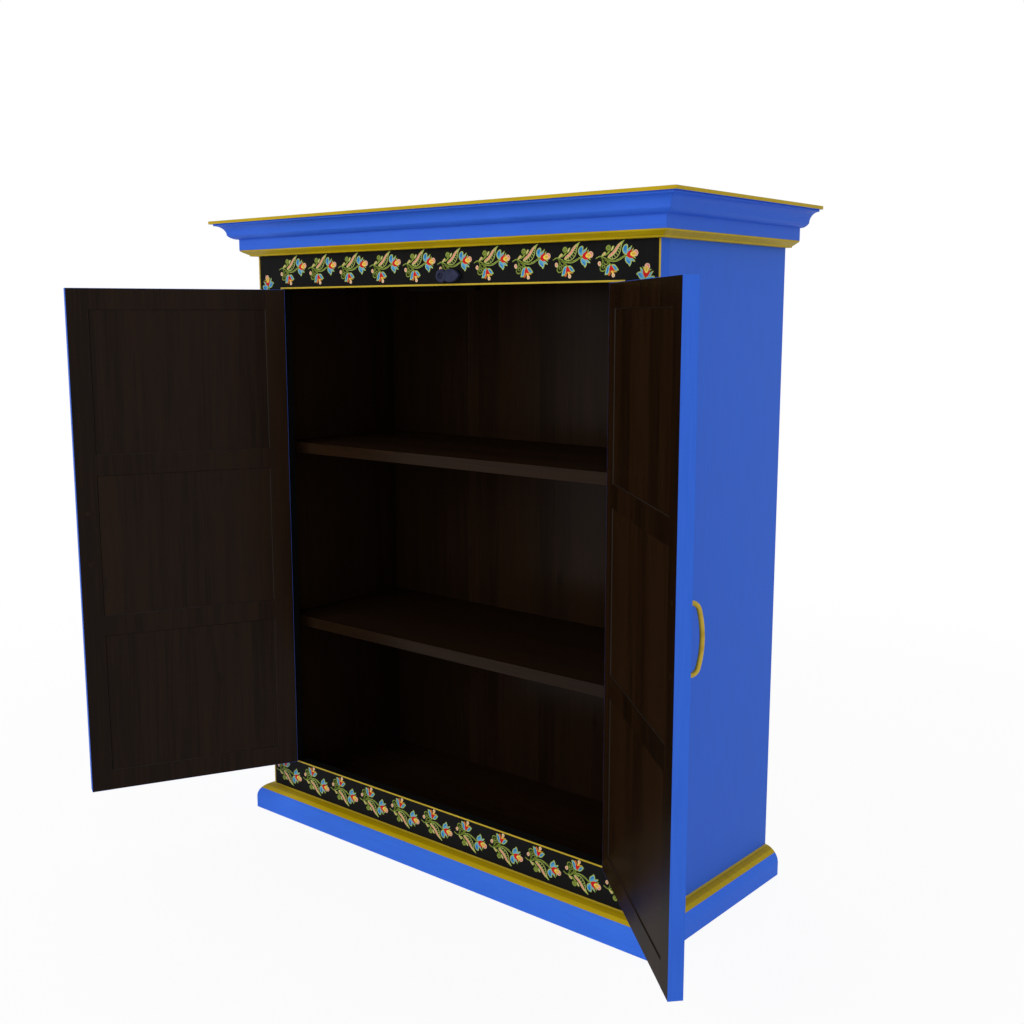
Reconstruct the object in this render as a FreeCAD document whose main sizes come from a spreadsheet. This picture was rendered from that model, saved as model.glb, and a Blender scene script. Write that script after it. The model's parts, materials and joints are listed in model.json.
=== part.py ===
"""Kas cupboard: a painted two-door cupboard with a moulded cornice and plinth.

Millimetres, +Z up, front towards -Y. The origin is on the floor, under the middle of the body.
The doors and the turn button are drawn as they stand in the photograph: doors open, button level.
"""
import FreeCAD, Part
import Sketcher
import math
import os
import re

DOC = FreeCAD.newDocument("KasCupboard")
SHEET = DOC.addObject("Spreadsheet::Sheet", "Sizes")

SIZES = {
    # Body
    "body_width": 938.0,
    "body_depth": 386.0,
    "body_height": 1194.4,
    "side_thick": 22.0,
    "board_thick": 22.0,
    "shelf_thick": 21.0,
    "dado_depth": 8.0,
    "floor_level": 57.0,
    "ceiling_drop": 61.4,
    "lower_shelf_level": 415.0,
    "upper_shelf_level": 770.0,
    "shelf_setback": 10.0,
    # Back
    "back_recess": 29.0,
    "back_thick": 12.0,
    "tongue_thick": 4.0,
    "tongue_length": 6.0,
    "tongue_play": 0.5,
    # Base
    "bearer_width": 40.0,
    "foot_rail_thick": 22.0,
    "foot_rail_height": 60.0,
    "corner_block": 45.0,
    # Face frame
    "frame_thick": 22.0,
    "stile_width": 67.0,
    "base_rail_height": 118.0,
    "frieze_height": 124.6,
    "frame_tenon_length": 35.0,
    "frame_tenon_thick": 8.0,
    "frame_tenon_inset": 14.0,
    # Cornice
    "cap_thick": 5.6,
    "cap_projection": 67.4,
    "crown_fillet": 3.4,
    "cove_radius": 18.0,
    "ovolo_rise": 7.5,
    "ovolo_run": 16.6,
    "ovolo_radius": 20.0,
    "fascia_height": 20.7,
    "fascia_projection": 26.3,
    "bed_height": 11.4,
    "bed_projection": 11.7,
    "bed_fillet": 2.4,
    "bed_quirk": 1.2,
    # Plinth
    "plinth_height": 52.5,
    "plinth_projection": 27.0,
    "plinth_square": 21.0,
    "plinth_radius": 30.0,
    # Doors
    "stop_gap": 0.4,
    "door_gap": 3.0,
    "head_gap": 1.6,
    "hinge_gap": 2.0,
    "meeting_gap": 2.0,
    "door_rail": 38.0,
    "door_tenon_length": 26.0,
    "tenon_inset": 9.0,
    "groove_width": 8.0,
    "groove_depth": 8.0,
    "groove_wall": 5.0,
    "panel_recess": 1.5,
    "panel_play": 1.0,
    "field_recess": 4.0,
    "field_bevel": 28.0,
    "left_door_angle": 115.3,
    "right_door_angle": 138.4,
    "stop_length": 160.0,
    "stop_depth": 15.0,
    "stop_height": 30.0,
    "stop_drop": 8.0,
    # Hinges
    "hinge_height": 60.0,
    "hinge_inset": 110.0,
    "leaf_width": 17.0,
    "leaf_thick": 1.6,
    "knuckle_radius": 4.0,
    "knuckle_gap": 0.3,
    "knuckle_relief": 0.4,
    "pin_radius": 2.0,
    "pin_clearance": 0.05,
    # Handles
    "handle_offset": 15.0,
    "handle_setback": 19.0,
    "handle_span": 96.0,
    "handle_rod": 7.0,
    "handle_height": 19.5,
    "handle_foot": 3.0,
    "handle_corner": 12.0,
    "handle_bolt_radius": 2.0,
    "handle_bolt_bite": 8.0,
    "bolt_head_width": 8.0,
    "bolt_head_depth": 3.0,
    # Turn button
    "button_offset": 27.3,
    "button_rise": 16.4,
    "button_thick": 8.0,
    "button_head": 11.4,
    "button_waist": 9.0,
    "button_neck": 10.5,
    "button_reach": 42.5,
    "button_leaf_radius": 25.5,
    "button_play": 0.2,
    "washer_radius": 8.0,
    "washer_thick": 2.0,
    "pivot_radius": 2.5,
    "pivot_clearance": 0.05,
    "pivot_bite": 18.0,
    "pivot_head_radius": 4.5,
    "pivot_head_depth": 2.0,
    "pivot_head_room": 0.5,
}

for row, (alias, value) in enumerate(SIZES.items(), start=1):
    SHEET.set(f"A{row}", alias)
    SHEET.set(f"B{row}", str(value))
    SHEET.setAlias(f"B{row}", alias)
DOC.recompute()

# Counts
BACK_BOARDS = 4
DOOR_PANELS = 3
HANDLE_SIDES = 8

# Places worked out from the sizes
HALF = "(body_width / 2)"
INNER = "(body_width / 2 - side_thick)"
OPENING = "(body_width / 2 - stile_width)"
FRONT = "(-body_depth / 2)"
BACK = "(body_depth / 2)"
FRAME_BACK = "(frame_thick - body_depth / 2)"
BACK_OUTER = "(body_depth / 2 - back_recess)"
BACK_INNER = "(body_depth / 2 - back_recess - back_thick)"
OPENING_TOP = "(body_height - frieze_height)"
FLOOR_UNDER = "(floor_level - board_thick)"
CEILING_OVER = "(body_height - ceiling_drop)"
CEILING_UNDER = "(body_height - ceiling_drop - board_thick)"
BED_TOP = "(body_height - crown_fillet - cove_radius - ovolo_rise - fascia_height)"
BUTTON_LEVEL = "(body_height - frieze_height + button_rise)"
DOOR_LOW = "(base_rail_height + door_gap)"
DOOR_HIGH = "(body_height - frieze_height - head_gap)"
DOOR_THICK = "(frame_thick - stop_gap)"
PIN = "(body_width / 2 - stile_width - hinge_gap / 2)"
HINGE_EDGE = "(hinge_gap / 2)"
FREE_EDGE = "(body_width / 2 - stile_width - hinge_gap / 2 - meeting_gap / 2)"
PANEL_HEIGHT = f"(({DOOR_HIGH} - {DOOR_LOW} - {DOOR_PANELS + 1} * door_rail) / {DOOR_PANELS})"
GROOVE_FRONT = "(frame_thick - stop_gap - groove_wall - groove_width)"
GROOVE_BACK = "(frame_thick - stop_gap - groove_wall)"
PANEL_BACK = "(frame_thick - stop_gap - panel_recess)"
HINGE_LOWS = (f"({DOOR_LOW} + hinge_inset)", f"({DOOR_HIGH} - hinge_inset - hinge_height)")
KNUCKLE = "(hinge_height / 3)"

LEFT = -1
RIGHT = 1
SIDE_NAMES = {LEFT: "left", RIGHT: "right"}

NODES = []


# Helpers that write expressions
def link(text):
    """Return an expression in which every size is a cell of the sheet."""
    def cell(match):
        word = match.group(0)
        return f"Sizes.{word}" if word in SIZES else word
    return re.sub(r"[a-z][a-z_]*", cell, text)


def measure(text):
    """Return the value that an expression has now."""
    found = SHEET.evalExpression(link(text))
    return float(getattr(found, "Value", found))


def facing(side, low, high):
    """Return a span along X as (low, high), mirrored for the left side."""
    if side == RIGHT:
        return (low, high)
    return (f"-({high})", f"-({low})")


def centred(half):
    """Return a span along X that is even about the middle."""
    return (f"-({half})", half)


# Helpers that add solids
def block(x, y, z):
    """Add a box between three (low, high) pairs of expressions."""
    box = DOC.addObject("Part::Box", "Block")
    for axis, size, (low, high) in zip("xyz", ("Length", "Width", "Height"), (x, y, z)):
        box.setExpression(size, link(f"({high}) - ({low})"))
        box.setExpression(f"Placement.Base.{axis}", link(low))
    return box


def upright(radius, x, y, z):
    """Add a cylinder along Z between a (low, high) pair of heights."""
    rod = DOC.addObject("Part::Cylinder", "Upright")
    rod.setExpression("Radius", link(radius))
    rod.setExpression("Height", link(f"({z[1]}) - ({z[0]})"))
    place(rod, x, y, z[0])
    return rod


def crosswise(radius, x, y, z):
    """Add a cylinder along Y between a (low, high) pair of depths."""
    rod = DOC.addObject("Part::Cylinder", "Crosswise")
    rod.Placement = FreeCAD.Placement(FreeCAD.Vector(), FreeCAD.Rotation(FreeCAD.Vector(1, 0, 0), -90))
    rod.setExpression("Radius", link(radius))
    rod.setExpression("Height", link(f"({y[1]}) - ({y[0]})"))
    place(rod, x, y[0], z)
    return rod


def place(piece, x, y, z):
    """Bind a piece's place to three expressions."""
    for axis, text in zip("xyz", (x, y, z)):
        piece.setExpression(f"Placement.Base.{axis}", link(text))
    return piece


def fuse(*pieces):
    """Join solids that are one piece of material."""
    whole = DOC.addObject("Part::MultiFuse", "Joined")
    whole.Shapes = list(pieces)
    whole.Refine = True
    return whole


def cut(base, *tools):
    """Cut the tools' shapes out of the base."""
    rest = DOC.addObject("Part::Cut", "Shaped")
    rest.Base = base
    rest.Tool = tools[0] if len(tools) == 1 else fuse(*tools)
    return rest


def group(*pieces):
    """Keep like pieces together as separate solids of one sub-part."""
    whole = DOC.addObject("Part::Compound", "Group")
    whole.Links = list(pieces)
    return whole


def keep(name, piece):
    """Name a finished sub-part and list it for writing."""
    piece.Label = name
    NODES.append(piece)
    return piece


# Helpers that draw sketches
def sketch_on(body, role, offset=None):
    """Add a sketch on one of the body's own origin planes, moved along its normal by an expression."""
    plane = next(item for item in body.Origin.OriginFeatures if item.Role == role)
    sketch = body.newObject("Sketcher::SketchObject", "Sketch")
    sketch.AttachmentSupport = [(plane, "")]
    sketch.MapMode = "FlatFace"
    if offset:
        sketch.setExpression("AttachmentOffset.Base.z", link(offset))
    return sketch


def arc_between(start, end, radius, turn):
    """Return the arc under a half circle from start to end, turning left (1) or right (-1)."""
    along = end - start
    left = FreeCAD.Vector(-along.y, along.x, 0).normalize()
    rise = math.sqrt(max(radius ** 2 - (along.Length / 2) ** 2, 0.0))
    centre = (start + end) * 0.5 + left * rise * turn
    first, last = (start, end) if turn > 0 else (end, start)
    angles = [math.atan2(point.y - centre.y, point.x - centre.x) for point in (first, last)]
    circle = Part.Circle(centre, FreeCAD.Vector(0, 0, 1), radius)
    if angles[1] <= angles[0]:
        angles[1] += 2 * math.pi
    return Part.ArcOfCircle(circle, *angles)


def outline(sketch, corners, closed=True):
    """Draw a chain through corners given as (x, y) or, before an arc, (x, y, radius, turn)."""
    points = [FreeCAD.Vector(measure(corner[0]), measure(corner[1]), 0) for corner in corners]
    count = len(corners) if closed else len(corners) - 1
    ends = []
    for index in range(count):
        corner = corners[index]
        start = points[index]
        end = points[(index + 1) % len(points)]
        if len(corner) == 2:
            edge = sketch.addGeometry(Part.LineSegment(start, end), False)
            ends.append((edge, 1, 2))
            continue
        turn = corner[3]
        radius = measure(corner[2])
        edge = sketch.addGeometry(arc_between(start, end, radius, turn), False)
        ends.append((edge, 1, 2) if turn > 0 else (edge, 2, 1))
        rule = sketch.addConstraint(Sketcher.Constraint("Radius", edge, radius))
        sketch.setExpression(f"Constraints[{rule}]", link(corner[2]))
    for index in range(count if closed else count - 1):
        edge, _, last = ends[index]
        following, first, _ = ends[(index + 1) % count]
        sketch.addConstraint(Sketcher.Constraint("Coincident", edge, last, following, first))
    for index, corner in enumerate(corners):
        edge, first, last = ends[min(index, count - 1)]
        position = first if index < count else last
        for kind, text in (("DistanceX", corner[0]), ("DistanceY", corner[1])):
            rule = sketch.addConstraint(Sketcher.Constraint(kind, edge, position, measure(text)))
            sketch.setExpression(f"Constraints[{rule}]", link(text))
    return sketch


def polygon(x, y, width, sides):
    """Return the corners of an even polygon about a point, from its width across the flats."""
    half_turn = 180 / sides
    radius = f"({width} / (2 * cos({half_turn})))"
    corners = []
    for number in range(sides):
        angle = (2 * number + 1) * half_turn
        corners.append((f"{x} + {radius} * cos({angle})", f"{y} + {radius} * sin({angle})"))
    return corners


def pad(body, sketch, length, symmetric=False):
    """Raise a sketch into a solid."""
    raised = body.newObject("PartDesign::Pad", "Pad")
    raised.Profile = sketch
    raised.SideType = "Symmetric" if symmetric else "One side"
    raised.setExpression("Length", link(length))
    return raised


def saw(body, sketch):
    """Cut a sketch right through the body, both ways."""
    sawn = body.newObject("PartDesign::Pocket", "Saw")
    sawn.Profile = sketch
    sawn.Type = "ThroughAll"
    sawn.SideType = "Symmetric"
    return sawn


# Carcass
def side_panel(side):
    """Add a side, with dadoes for the boards and a groove for the back."""
    panel = block(facing(side, INNER, HALF), (FRAME_BACK, BACK), ("0", "body_height"))
    dado = facing(side, INNER, f"{INNER} + dado_depth")
    shelf_depth = (f"{FRAME_BACK} + shelf_setback", BACK_INNER)
    rooms = [
        block(dado, (FRAME_BACK, BACK_INNER), (FLOOR_UNDER, "floor_level")),
        block(dado, (FRAME_BACK, BACK_INNER), (CEILING_UNDER, CEILING_OVER)),
        block(dado, shelf_depth, ("lower_shelf_level - shelf_thick", "lower_shelf_level")),
        block(dado, shelf_depth, ("upper_shelf_level - shelf_thick", "upper_shelf_level")),
        block(dado, (BACK_INNER, BACK_OUTER), (FLOOR_UNDER, "body_height")),
    ]
    keep(f"side_panel_{SIDE_NAMES[side]}", cut(panel, *rooms))


def level_board(name, low, high, setback):
    """Add a board that runs from dado to dado."""
    depth = (f"{FRAME_BACK} + {setback}", BACK_INNER)
    keep(name, block(centred(f"({INNER} + dado_depth)"), depth, (low, high)))


def back_boards():
    """Add the upright back boards, tongued into each other and held in the sides' grooves."""
    pitch = f"(2 * ({INNER} + dado_depth) / {BACK_BOARDS})"
    heights = (FLOOR_UNDER, "body_height")
    middle = f"(({BACK_INNER} + {BACK_OUTER}) / 2)"
    tongue_depth = (f"{middle} - tongue_thick / 2", f"{middle} + tongue_thick / 2")
    for number in range(BACK_BOARDS):
        left = f"(-({INNER} + dado_depth) + {number} * {pitch})"
        right = f"({left} + {pitch})"
        board = block((left, right), (BACK_INNER, BACK_OUTER), heights)
        if number < BACK_BOARDS - 1:
            board = fuse(board, block((right, f"{right} + tongue_length"), tongue_depth, heights))
        if number > 0:
            room = (left, f"{left} + tongue_length + tongue_play")
            board = cut(board, block(room, tongue_depth, heights))
        keep(f"back_board_{number + 1}", board)


def base_framing():
    """Add the rail across the back, the bearer under the floor and the corner blocks."""
    foot_front = f"({BACK} - foot_rail_thick)"
    keep("back_foot_rail", block(centred(INNER), (foot_front, BACK), ("0", "foot_rail_height")))
    bearer = block(centred("bearer_width / 2"), (FRAME_BACK, foot_front), ("0", FLOOR_UNDER))
    keep("centre_bearer", bearer)
    blocks = []
    for side in (LEFT, RIGHT):
        for wall, inward in ((FRAME_BACK, "+"), (foot_front, "-")):
            body = DOC.addObject("PartDesign::Body", "CornerBlock")
            corner = (f"{side} * {INNER}", wall)
            along = (f"{side} * ({INNER} - corner_block)", wall)
            across = (f"{side} * {INNER}", f"{wall} {inward} corner_block")
            pad(body, outline(sketch_on(body, "XY_Plane"), [corner, along, across]), FLOOR_UNDER)
            blocks.append(body)
    keep("corner_blocks", group(*blocks))


# Hinge recesses, shared by the frame and the doors
def hinge_rooms(side, pin_x, pin_y):
    """Return the leaf recesses and knuckle reliefs on one side of a pin: 1 towards +X, -1 towards -X."""
    rooms = []
    for low in HINGE_LOWS:
        high = f"{low} + hinge_height"
        near, far = facing(side, "hinge_gap / 2", "hinge_gap / 2 + leaf_thick")
        leaf = (f"{pin_x} + {near}", f"{pin_x} + {far}")
        rooms.append(block(leaf, (pin_y, f"{pin_y} + leaf_width"), (low, high)))
        relief = (f"{low} - knuckle_relief", f"{high} + knuckle_relief")
        rooms.append(upright("knuckle_radius + knuckle_relief", pin_x, pin_y, relief))
    return rooms


# Face frame
def face_frame():
    """Add the two stiles and two rails, joined with mortise and tenon."""
    depth = (FRONT, FRAME_BACK)
    middle = f"(({FRONT} + {FRAME_BACK}) / 2)"
    tenon_depth = (f"{middle} - frame_tenon_thick / 2", f"{middle} + frame_tenon_thick / 2")
    rails = {"base_rail": ("0", "base_rail_height"), "frieze_rail": (OPENING_TOP, "body_height")}
    tenons = {}
    for name, (low, high) in rails.items():
        reach = centred(f"({OPENING} + frame_tenon_length)")
        tenon_height = (f"{low} + frame_tenon_inset", f"{high} - frame_tenon_inset")
        tenons[name] = block(reach, tenon_depth, tenon_height)
        rail = fuse(block(centred(OPENING), depth, (low, high)), tenons[name])
        if name == "frieze_rail":
            bore = (FRONT, f"{FRONT} + pivot_bite")
            rail = cut(rail, crosswise("pivot_radius", "button_offset", bore, BUTTON_LEVEL))
        keep(name, rail)
    for side in (LEFT, RIGHT):
        stile = block(facing(side, OPENING, HALF), depth, ("0", "body_height"))
        rooms = hinge_rooms(side, f"{side} * {PIN}", FRONT)
        keep(f"frame_stile_{SIDE_NAMES[side]}", cut(stile, *tenons.values(), *rooms))


def door_stop():
    """Add the strip behind the frieze that the doors close against."""
    heights = (f"{OPENING_TOP} - stop_drop", f"{OPENING_TOP} - stop_drop + stop_height")
    depth = (FRAME_BACK, f"{FRAME_BACK} + stop_depth")
    keep("door_stop", block(centred("stop_length / 2"), depth, heights))


# Mouldings
def section(profile, outward, mirror):
    """Return a profile's corners, each projection turned into a coordinate by outward."""
    corners = []
    for projection, level, *arc in profile:
        corner = (outward(projection), level)
        if arc:
            radius, turn = arc
            corner += (radius, mirror * turn)
        corners.append(corner)
    return corners


def mitre(body, side, waste):
    """Saw a moulding on the line that halves a front corner; waste is 1 outside the line, -1 inside."""
    long = "(body_width + body_depth)"
    line = [
        (f"{side} * ({HALF} - {long})", f"{FRONT} + {long}"),
        (f"{side} * ({HALF} + {long})", f"{FRONT} - {long}"),
        (f"{side} * ({HALF} + {waste} * {long})", f"{FRONT} + {waste} * {long}"),
    ]
    saw(body, outline(sketch_on(body, "XY_Plane"), line))


def moulding(name, profile, reach):
    """Run a profile of (projection, height) along the front and both sides, mitred at the corners."""
    body = DOC.addObject("PartDesign::Body", "Moulding")
    corners = section(profile, lambda projection: f"{FRONT} - ({projection})", -1)
    pad(body, outline(sketch_on(body, "YZ_Plane"), corners), f"body_width + 2 * {reach}", symmetric=True)
    for side in (LEFT, RIGHT):
        mitre(body, side, 1)
    keep(f"{name}_front", body)
    for side in (LEFT, RIGHT):
        body = DOC.addObject("PartDesign::Body", "Moulding")
        corners = section(profile, lambda projection: f"{side} * ({HALF} + {projection})", side)
        pad(body, outline(sketch_on(body, "XZ_Plane", f"-{BACK}"), corners), f"body_depth + {reach}")
        mitre(body, side, -1)
        keep(f"{name}_{SIDE_NAMES[side]}", body)


def cornice():
    """Add the cap board, the crown moulding and the bed moulding."""
    reach = f"({HALF} + cap_projection)"
    cap_height = ("body_height", "body_height + cap_thick")
    keep("cornice_cap", block(centred(reach), (f"{FRONT} - cap_projection", BACK), cap_height))
    crown_top = "body_height"
    cove_top = "(body_height - crown_fillet)"
    ovolo_top = "(body_height - crown_fillet - cove_radius)"
    fascia_top = "(body_height - crown_fillet - cove_radius - ovolo_rise)"
    ovolo_out = "(fascia_projection + ovolo_run)"
    cove_out = "(fascia_projection + ovolo_run + cove_radius)"
    moulding("crown", [
        ("0", BED_TOP),
        ("fascia_projection", BED_TOP),
        ("fascia_projection", fascia_top, "ovolo_radius", 1),
        (ovolo_out, ovolo_top, "cove_radius", -1),
        (cove_out, cove_top),
        (cove_out, crown_top),
        ("0", crown_top),
    ], cove_out)
    bed_low = f"({BED_TOP} - bed_height)"
    moulding("bed_mould", [
        ("0", bed_low),
        ("bed_projection", bed_low),
        ("bed_projection + bed_quirk", f"{bed_low} + bed_fillet"),
        ("fascia_projection - bed_quirk", f"{BED_TOP} - bed_fillet"),
        ("fascia_projection", BED_TOP),
        ("0", BED_TOP),
    ], "fascia_projection")


def plinth():
    """Add the rounded plinth moulding round the foot of the body."""
    moulding("plinth", [
        ("0", "0"),
        ("plinth_projection", "0"),
        ("plinth_projection", "plinth_square", "plinth_radius", 1),
        ("0", "plinth_height"),
    ], "plinth_projection")


# Doors, drawn closed about the hinge pin and then swung open
def hang(piece, side):
    """Set a door's piece on its pin at the angle of the photograph."""
    place(piece, f"{side} * {PIN}", FRONT, "0")
    piece.setExpression("Placement.Rotation.Angle", link(f"{side} * {SIDE_NAMES[side]}_door_angle"))
    return piece


def rail_heights(number):
    """Return the heights of a door rail, counted from the bottom."""
    low = f"({DOOR_LOW} + {number} * (door_rail + {PANEL_HEIGHT}))"
    return (low, f"({low} + door_rail)")


def door_frame(side):
    """Add a door's stiles, rails and raised panels."""
    name = SIDE_NAMES[side]
    inward = -side
    rail_start = f"({HINGE_EDGE} + door_rail)"
    rail_end = f"({FREE_EDGE} - door_rail)"
    depth = ("0", DOOR_THICK)
    groove = (GROOVE_FRONT, GROOVE_BACK)
    panel_rooms = []
    for number in range(DOOR_PANELS):
        low = rail_heights(number)[1]
        high = rail_heights(number + 1)[0]
        room = facing(inward, f"{rail_start} - groove_depth", f"{rail_end} + groove_depth")
        panel_rooms.append(block(room, groove, (f"{low} - groove_depth", f"{high} + groove_depth")))
    tenons = []
    for number in range(DOOR_PANELS + 1):
        low, high = rail_heights(number)
        reach = facing(inward, f"{rail_start} - door_tenon_length", f"{rail_end} + door_tenon_length")
        tenons.append(block(reach, groove, (f"{low} + tenon_inset", f"{high} - tenon_inset")))
    for number, word in enumerate(("bottom_rail", "lower_rail", "upper_rail", "top_rail")):
        rail = block(facing(inward, rail_start, rail_end), depth, rail_heights(number))
        rail = cut(fuse(rail, tenons[number]), *panel_rooms[max(number - 1, 0):number + 1])
        keep(f"{name}_door_{word}", hang(rail, side))
    heights = (DOOR_LOW, DOOR_HIGH)
    hinge_stile = block(facing(inward, HINGE_EDGE, rail_start), depth, heights)
    hinge_stile = cut(hinge_stile, *panel_rooms, *tenons, *hinge_rooms(inward, "0", "0"))
    keep(f"{name}_door_hinge_stile", hang(hinge_stile, side))
    meeting_stile = block(facing(inward, rail_end, FREE_EDGE), depth, heights)
    meeting_stile = cut(meeting_stile, *panel_rooms, *tenons, handle_bolts(side))
    keep(f"{name}_door_meeting_stile", hang(meeting_stile, side))
    for number, word in enumerate(("bottom_panel", "middle_panel", "top_panel")):
        keep(f"{name}_door_{word}", hang(door_panel(inward, number, rail_start, rail_end), side))


def door_panel(inward, number, rail_start, rail_end):
    """Return a panel that floats in its grooves, bevelled on its outer face and almost flush inside."""
    low = rail_heights(number)[1]
    high = rail_heights(number + 1)[0]
    bite = "(groove_depth - panel_play)"
    across = facing(inward, f"{rail_start} - {bite}", f"{rail_end} + {bite}")
    up = (f"{low} - {bite}", f"{high} + {bite}")
    tongue = block(across, (GROOVE_FRONT, GROOVE_BACK), up)
    field = DOC.addObject("Part::Wedge", "Field")
    foot_across = facing(inward, f"{rail_start} + panel_play", f"{rail_end} - panel_play")
    foot_up = (f"{low} + panel_play", f"{high} - panel_play")
    limits = {
        "Ymin": "field_recess",
        "Ymax": GROOVE_FRONT,
        "X2min": foot_across[0],
        "X2max": foot_across[1],
        "Z2min": foot_up[0],
        "Z2max": foot_up[1],
        "Xmin": f"{foot_across[0]} + field_bevel",
        "Xmax": f"{foot_across[1]} - field_bevel",
        "Zmin": f"{foot_up[0]} + field_bevel",
        "Zmax": f"{foot_up[1]} - field_bevel",
    }
    for limit, text in limits.items():
        field.setExpression(limit, link(text))
    inner = block(foot_across, (GROOVE_BACK, PANEL_BACK), foot_up)
    return fuse(tongue, field, inner)


# Hinges
def leaf(side, pin_x, pin_y, low, knuckles, bore):
    """Return a hinge leaf with knuckles between the given pairs of heights."""
    near, far = facing(side, "hinge_gap / 2", "hinge_gap / 2 + leaf_thick")
    width = (f"{pin_x} + {near}", f"{pin_x} + {far}")
    root = f"({pin_y} + knuckle_radius + knuckle_relief)"
    pieces = [block(width, (root, f"{pin_y} + leaf_width"), (low, f"{low} + hinge_height"))]
    for heights in knuckles:
        pieces.append(block(width, (pin_y, root), heights))
        pieces.append(upright("knuckle_radius", pin_x, pin_y, heights))
    hole = upright(bore, pin_x, pin_y, (low, f"{low} + hinge_height"))
    return cut(fuse(*pieces), hole)


def hinges():
    """Add the butt hinges: frame leaves, door leaves and fast pins, flush with the knuckles."""
    frame_leaves = []
    pins = []
    for side in (LEFT, RIGHT):
        pin_x = f"{side} * {PIN}"
        door_leaves = []
        for low in HINGE_LOWS:
            high = f"({low} + hinge_height)"
            outer = ((low, f"{low} + {KNUCKLE}"), (f"{high} - {KNUCKLE}", high))
            inner = ((f"{low} + {KNUCKLE} + knuckle_gap", f"{high} - {KNUCKLE} - knuckle_gap"),)
            frame_leaves.append(leaf(side, pin_x, FRONT, low, outer, "pin_radius"))
            door_leaves.append(leaf(-side, "0", "0", low, inner, "pin_radius + pin_clearance"))
            pins.append(upright("pin_radius", pin_x, FRONT, (low, high)))
        keep(f"{SIDE_NAMES[side]}_door_hinge_leaves", hang(group(*door_leaves), side))
    keep("frame_hinge_leaves", group(*frame_leaves))
    keep("hinge_pins", group(*pins))


# Handles
HANDLE_X = f"({FREE_EDGE} - handle_setback)"
HANDLE_LEVEL = f"(({DOOR_LOW} + {DOOR_HIGH}) / 2 + handle_offset)"
HANDLE_ENDS = (f"({HANDLE_LEVEL} - handle_span / 2)", f"({HANDLE_LEVEL} + handle_span / 2)")


def handle_bolts(side):
    """Return the two square-headed bolts, let in flush, that hold a handle from inside the door."""
    bolts = []
    for level in HANDLE_ENDS:
        x = f"{-side} * {HANDLE_X}"
        shank = crosswise("handle_bolt_radius", x, ("-handle_bolt_bite", DOOR_THICK), level)
        across = (f"{x} - bolt_head_width / 2", f"{x} + bolt_head_width / 2")
        up = (f"{level} - bolt_head_width / 2", f"{level} + bolt_head_width / 2")
        head = block(across, (f"{DOOR_THICK} - bolt_head_depth", DOOR_THICK), up)
        bolts.append(fuse(shank, head))
    return group(*bolts)


def handle(side):
    """Add a bow handle of eight-sided bar, swept along feet, corners and a shallow bow, with its bolts."""
    name = SIDE_NAMES[side]
    rise = "(handle_height - handle_foot)"
    half = "(handle_span / 2 - handle_corner)"
    bow = f"(({rise}^2 + {half}^2 - handle_corner^2) / (2 * ({rise} - handle_corner)))"
    share = f"(handle_corner / ({bow} - handle_corner))"
    turn_out = f"(handle_foot + {share} * ({bow} - {rise}))"
    turn_up = f"({half} * (1 + {share}))"
    low, high = HANDLE_ENDS
    body = DOC.addObject("PartDesign::Body", "Handle")
    path = outline(sketch_on(body, "YZ_Plane", f"{-side} * {HANDLE_X}"), [
        ("0", low),
        ("-handle_foot", low, "handle_corner", -1),
        (f"-{turn_out}", f"{HANDLE_LEVEL} - {turn_up}", bow, -1),
        (f"-{turn_out}", f"{HANDLE_LEVEL} + {turn_up}", "handle_corner", -1),
        ("-handle_foot", high),
        ("0", high),
    ], closed=False)
    corners = polygon(f"{-side} * {HANDLE_X}", low, "handle_rod", HANDLE_SIDES)
    bar = outline(sketch_on(body, "XZ_Plane"), corners)
    DOC.recompute()
    swept = body.newObject("PartDesign::AdditivePipe", "Bow")
    swept.Profile = bar
    swept.Spine = (path, [f"Edge{number}" for number in range(1, 6)])
    keep(f"{name}_handle", hang(cut(body, handle_bolts(side)), side))
    keep(f"{name}_handle_bolts", hang(handle_bolts(side), side))


# Turn button
def turn_button():
    """Add the leaf-shaped button, its washer and the screw it turns on."""
    washer_front = f"({FRONT} - washer_thick)"
    back = f"({washer_front} - button_play)"
    head_x = "sqrt(button_head^2 - button_waist^2)"
    body = DOC.addObject("PartDesign::Body", "Button")
    plan = outline(sketch_on(body, "XZ_Plane"), [
        (head_x, "button_waist", "button_head", 1),
        ("-button_head", "0", "button_head", 1),
        (head_x, "-button_waist"),
        ("button_neck", "-button_waist", "button_leaf_radius", 1),
        ("button_reach", "0", "button_leaf_radius", 1),
        ("button_neck", "button_waist"),
    ])
    pad(body, plan, "button_thick")
    bore = crosswise("pivot_radius + pivot_clearance", "0", ("-2 * button_thick", "button_thick"), "0")
    sink = ("-2 * button_thick", "-button_thick + pivot_head_depth + button_play")
    room = crosswise("pivot_head_radius + pivot_head_room", "0", sink, "0")
    keep("turn_button", place(cut(body, bore, room), "button_offset", back, BUTTON_LEVEL))
    shank = ("button_offset", (f"{back} - button_thick", f"{FRONT} + pivot_bite"), BUTTON_LEVEL)
    head_depth = (f"{back} - button_thick", f"{back} - button_thick + pivot_head_depth")
    head = crosswise("pivot_head_radius", "button_offset", head_depth, BUTTON_LEVEL)
    keep("button_screw", fuse(crosswise("pivot_radius", *shank), head))
    ring = crosswise("washer_radius", "button_offset", (washer_front, FRONT), BUTTON_LEVEL)
    hole = crosswise("pivot_radius", "button_offset", (f"{washer_front} - washer_thick", FRONT), BUTTON_LEVEL)
    keep("button_washer", cut(ring, hole))


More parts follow.
